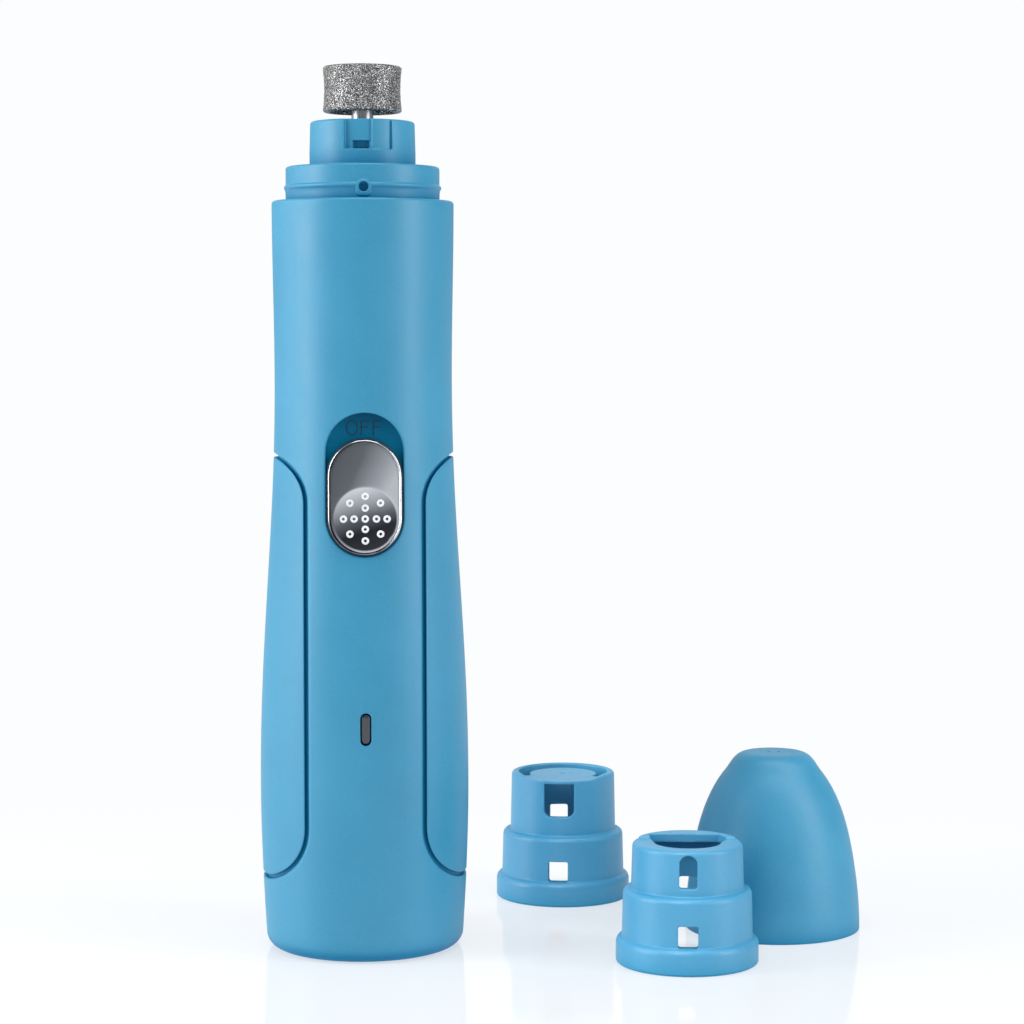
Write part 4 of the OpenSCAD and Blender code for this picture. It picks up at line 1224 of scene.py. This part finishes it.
def smoked():
    """Gunmetal switch face with a painted reflection, dark on the left and paler on the right, and
    painted shade in the thumb dish, pale at its top and darkest low down.
    """
    mat = Material("gunmetal face with painted reflection and shade")
    x, _, z = mat.position()
    cloud = mat.remap(mat.noise(140, roughness=0.5), (0.3, 0.7), to=(-0.03, 0.03))
    lean = mat.calc("MULTIPLY", mat.calc("SUBTRACT", z, 0.0855), -0.45)
    painted_reflection_across = mat.remap(mat.calc("ADD", x, lean), (-0.0058, 0.0062))
    # painted reflection: the face runs from dark on the left to pale on the right
    face = mat.ramp(mat.calc("ADD", painted_reflection_across, cloud), [
        (0.0, (0.115, 0.125, 0.145)),
        (0.4, (0.15, 0.165, 0.185)),
        (0.72, (0.36, 0.39, 0.43)),
        (1.0, (0.62, 0.65, 0.7)),
    ])
    lean = mat.calc("MULTIPLY", x, -0.35)
    painted_dish_shade_up = mat.remap(mat.calc("ADD", z, lean), (0.0708, 0.0822))
    # painted shade in the thumb dish: pale at its top, darkest near its bottom
    dish = mat.ramp(mat.calc("ADD", painted_dish_shade_up, cloud), [
        (0.0, (0.05, 0.053, 0.065)),
        (0.26, (0.026, 0.028, 0.036)),
        (0.5, (0.14, 0.15, 0.17)),
        (0.78, (0.42, 0.45, 0.49)),
        (1.0, (0.66, 0.69, 0.73)),
    ])
    dx = mat.calc("SUBTRACT", x, DISH_X * MM)
    dz = mat.calc("SUBTRACT", z, DISH_Z * MM)
    dish_edge = ((DISH_RADIUS - 0.42) * MM, (DISH_RADIUS - 0.12) * MM)
    in_dish = mat.remap(mat.hypot(dx, dz), dish_edge, to=(1, 0))
    color = mat.mix(in_dish, face, dish)
    fine = mat.noise(2600)
    sheen = mat.remap(fine, (0.3, 0.7), to=(0.3, 0.4))
    relief = mat.bump(fine, strength=0.06, distance=0.00003)
    return mat.finish(color, sheen, 0.55, Normal=relief, Specular_IOR_Level=0.4)


def bezel_metal():
    """Bright rim with a painted reflection: dark round the bottom of the button and bright above
    it.
    """
    mat = Material("polished bezel")
    x, _, z = mat.position()
    tilted = mat.calc("ADD", z, mat.calc("MULTIPLY", x, 0.35))
    cloud = mat.remap(mat.noise(300), (0.3, 0.7), to=(-0.08, 0.08))
    rise = mat.calc("ADD", mat.remap(tilted, (0.0715, 0.0765)), cloud)
    # painted reflection: the rim's colour runs from dark at the bottom to bright at the top
    stops = [(0.0, (0.12, 0.12, 0.14)), (0.5, (0.5, 0.5, 0.54)), (1.0, (0.86, 0.87, 0.89))]
    fine = mat.noise(2400)
    sheen = mat.remap(fine, (0.3, 0.7), to=(0.14, 0.19))
    relief = mat.bump(fine, strength=0.015, distance=0.00003)
    return mat.finish(mat.ramp(rise, stops), sheen, 1.0, Normal=relief)


MATERIALS = {
    "shell_blue": blue_plastic("blue moulded plastic", recess=True),
    "grip_blue": blue_plastic("blue grip plastic", tint=0.99, roughness=0.47, cloud_scale=67),
    "cap_blue": blue_plastic(
        "blue cap plastic", tint=1.06, roughness=0.42, cloud_scale=73,
        # colour of the painted shade in the caps' corners
        corner_shade=(0.02, 0.24, 0.42), pale=0.028,
    ),
    "cover_blue": blue_plastic(
        "blue cover plastic", tint=0.96, roughness=0.48, cloud_scale=81, pale=0.004
    ),
    "smoked_metal": smoked(),
    "bright_metal": bezel_metal(),
    "dot_white": plastic("white dot", (0.8, 0.82, 0.85), 0.32, light=(0.93, 0.95, 0.97)),
    "dot_mark": plastic("dot centre", (0.045, 0.05, 0.06), 0.4),
    "lens_smoke": plastic(
        "smoked lens", (0.028, 0.034, 0.045), 0.16, bump=0.04, light=(0.04, 0.048, 0.06),
        Coat_Weight=0.6, Coat_Roughness=0.05,
    ),
    "led_white": plastic("led body", (0.8, 0.82, 0.7), 0.3),
    "steel": metal("satin steel", (0.56, 0.57, 0.59), 0.3, brushed=0.06),
    "black_plastic": plastic("black plastic", (0.018, 0.018, 0.02), 0.5),
    "pcb_green": plastic("solder mask", (0.012, 0.11, 0.055), 0.38, grain=1400, bump=0.25),
    "battery_blue": plastic("battery film", (0.03, 0.12, 0.36), 0.22, grain=700, bump=0.1),
    "nickel": metal("nickel strip", (0.66, 0.66, 0.64), 0.28),
    "wire_pvc": plastic("lead insulation", (0.42, 0.02, 0.02), 0.42),
    "brass": metal("brass", (0.62, 0.42, 0.14), 0.28),
    "ferrite": plastic("ferrite", (0.05, 0.05, 0.055), 0.62, grain=1800, bump=0.4),
    "bronze": metal("sintered bronze", (0.45, 0.27, 0.1), 0.5, grain=4200, bump=0.5),
    "carbon": plastic("carbon", (0.03, 0.026, 0.024), 0.6, grain=2600, bump=0.3),
    "felt": plastic("felt", (0.035, 0.035, 0.037), 0.95, grain=1600, bump=1.0),
    "lamination": metal(
        "laminated iron", (0.34, 0.35, 0.37), 0.4, brushed=14, grain=500, bump=0.5
    ),
    "copper": metal("enamelled copper", (0.6, 0.24, 0.08), 0.24, brushed=8, grain=900, bump=0.6),
    "screw_black": metal("black oxide", (0.05, 0.05, 0.055), 0.4),
    "drum_steel": metal("drum steel", (0.33, 0.34, 0.36), 0.36),
    "diamond_grit": grit(),
    "white_plastic": plastic("acetal", (0.72, 0.72, 0.7), 0.4),
    "engraved": plastic(
        "engraved strokes", (0.0006, 0.026, 0.068), 0.6, light=(0.001, 0.034, 0.08)
    ),
}

# ---------------------------------------------------------------- build
slots = {part["node"]: part["material_slot"] for part in frame["record"]["subparts"]}
for node_name, cad_object in frame["nodes"].items():
    cad_object.data.materials.clear()
    cad_object.data.materials.append(MATERIALS[slots[node_name]])


def piece(obj, body, material, node=None):
    """Finishes an object that moves with a body and may stand in for a CAD node."""
    obj.data.materials.clear()
    obj.data.materials.append(MATERIALS[material])
    obj.data.polygons.foreach_set("material_index", np.zeros(len(obj.data.polygons), np.int32))
    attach(obj, body)
    if node:
        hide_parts(node)
    return obj


piece(shell("front_shell_body", True), "handle", "shell_blue", "front_shell")
piece(shell("rear_shell_body", False), "handle", "shell_blue", "rear_shell")
piece(grip("grip_right_panel", 1), "handle", "grip_blue", "grip_right")
piece(grip("grip_left_panel", -1), "handle", "grip_blue", "grip_left")
piece(nose(), "handle", "shell_blue", "nose_collar")
piece(off_mark(), "handle", "engraved")
piece(lens(), "handle", "lens_smoke", "led_lens")
piece(bezel(), "switch", "bright_metal", "switch_bezel")
piece(button(), "switch", "smoked_metal", "switch_button")
switch_dots = piece(dots(), "switch", "dot_white", "switch_dots")
darken_dot_centres(switch_dots, MATERIALS["dot_mark"])
# a black ring whose colour stands in for the shade in the gap round the switch
piece(gap_shade_ring(), "switch", "black_plastic")
piece(diamond_sleeve(), "bit", "diamond_grit", "diamond_sleeve")
piece(drum_core(), "bit", "drum_steel", "drum_core")
GUARD_CAPS = [
    piece(make(), body, "cap_blue", body)
    for make, body in ((slotted_cap, "guard_cap_slotted"), (open_cap, "guard_cap_open"))
]
TRAVEL_COVER = piece(cover(), "travel_cover", "cover_blue", "travel_cover")

# ---------------------------------------------------------------- stage, metres
WHITE = (0.975, 0.983, 0.99)


def stage():
    """Pale studio floor with a faint glossy reflection; it fades into the white surround."""
    mesh = bpy.data.meshes.new("studio_floor")
    half, z = 6.0, -0.00002
    corners = [(-half, -half, z), (half, -half, z), (half, half, z), (-half, half, z)]
    mesh.from_pydata(corners, [], [[0, 1, 2, 3]])
    floor = bpy.data.objects.new("studio_floor", mesh)
    bpy.context.scene.collection.objects.link(floor)

    mat = Material("pale studio floor")
    mat.finish((0.31, 0.315, 0.32), 0.9, 0.0, Specular_IOR_Level=0.0)
    length = mat.node("ShaderNodeVectorMath", {0: mat.coords}, operation="LENGTH")
    outward = mat.remap(length.outputs["Value"], (0.16, 0.34))
    behind = mat.remap(mat.position()["Y"], (0.07, 0.15))
    far = mat.calc("MAXIMUM", outward, behind)

    def shader(kind, inputs):
        return mat.node(kind, inputs).outputs[0]

    glow = shader("ShaderNodeEmission", {"Color": (0.955, 0.975, 1.0), "Strength": 0.715})
    sheen = mat.remap(mat.noise(40, roughness=0.5), (0.3, 0.7), to=(0.06, 0.12))
    gloss = shader("ShaderNodeBsdfGlossy", {"Color": (1, 1, 1), "Roughness": sheen})
    surround = shader("ShaderNodeEmission", {"Color": WHITE, "Strength": 1.0})
    matt = shader("ShaderNodeAddShader", {0: mat.principled.outputs[0], 1: glow})
    fresnel = shader("ShaderNodeFresnel", {"IOR": 1.13})
    near = shader("ShaderNodeMixShader", {0: fresnel, 1: matt, 2: gloss})
    whole = shader("ShaderNodeMixShader", {0: far, 1: near, 2: surround})
    mat.feed(mat.tree.nodes["Material Output"].inputs["Surface"], whole)
    mesh.materials.append(mat.material)


MIDDLE = (0.02, 0, 0.07)
# name, place, target, size, power in watts, the only objects lit (None for all)
LIGHTS = (
    ("key_left", (-0.64, -0.15, 0.26), MIDDLE, (0.26, 0.66), 3.8, None),
    ("fill_right", (0.56, -0.28, 0.24), MIDDLE, (0.2, 0.6), 2.1, None),
    ("top", (0.03, -0.15, 0.76), MIDDLE, (0.5, 0.36), 2.1, None),
    ("rim_left", (-0.5, 0.16, 0.24), (0.03, 0.03, 0.03), (0.22, 0.5), 0.6, None),
    # small front lights for the caps and the cover
    ("cap_light", (-0.12, -0.40, 0.45), (0.05, 0.01, 0.01), (0.22, 0.22), 1.7, GUARD_CAPS),
    ("cover_light", (0.3, -0.26, 0.52), (0.074, 0.008, 0.02), (0.2, 0.2), 0.75, [TRAVEL_COVER]),
)


def aim(obj, direction):
    obj.rotation_euler = direction.to_track_quat("-Z", "Y").to_euler()


def lights():
    for name, place, target, size, power, receivers in LIGHTS:
        data = bpy.data.lights.new(name, "AREA")
        data.shape = "RECTANGLE"
        data.size, data.size_y = size
        data.energy = power
        data.spread = math.pi
        light = bpy.data.objects.new(name, data)
        light.location = place
        aim(light, Vector(target) - Vector(place))
        bpy.context.scene.collection.objects.link(light)
        if receivers:
            lit = bpy.data.collections.new("lit by " + name.replace("_", " "))
            for obj in receivers:
                lit.objects.link(obj)
            light.light_linking.receiver_collection = lit


def surround():
    """White to the camera, grey as a light, and darker in reflections."""
    world = bpy.data.worlds.new("surround")
    bpy.context.scene.world = world
    world.use_nodes = True
    sky = Nodes(world.node_tree, "Generated")
    rays = sky.node("ShaderNodeLightPath").outputs
    plain = sky.mix(rays["Is Camera Ray"], (0.31, 0.32, 0.335), WHITE)
    # reflections see a dark room, but the floor mirrors the white surround behind the scene
    position = sky.position()
    above = sky.remap(position["Z"], (0.06, 0.14))
    behind = sky.remap(position["Y"], (0.5, 0.8))
    room = sky.mix(sky.calc("MULTIPLY", above, behind), (0.13, 0.135, 0.145), WHITE)
    background = sky.tree.nodes["Background"]
    sky.feed(background.inputs["Color"], sky.mix(rays["Is Glossy Ray"], plain, room))
    background.inputs["Strength"].default_value = 1.0


def camera():
    place_mm = (-5.2326, -472.7715, 108.52)
    yaw, pitch = 0.0660, 0.0680  # radians to the right of +Y, and downwards
    data = bpy.data.cameras.new("camera")
    data.sensor_width = 36
    data.sensor_fit = "HORIZONTAL"
    data.lens = 94.921875
    data.clip_start, data.clip_end = 0.01, 50
    obj = bpy.data.objects.new("camera", data)
    obj.location = [c * MM for c in place_mm]
    across, ahead = math.sin(yaw) * math.cos(pitch), math.cos(yaw) * math.cos(pitch)
    aim(obj, Vector((across, ahead, -math.sin(pitch))))
    bpy.context.scene.collection.objects.link(obj)
    bpy.context.scene.camera = obj


stage()
lights()
surround()
camera()
bpy.context.scene.view_settings.view_transform = "Standard"
bpy.context.scene.view_settings.look = "None"

bpy.context.view_layer.update()
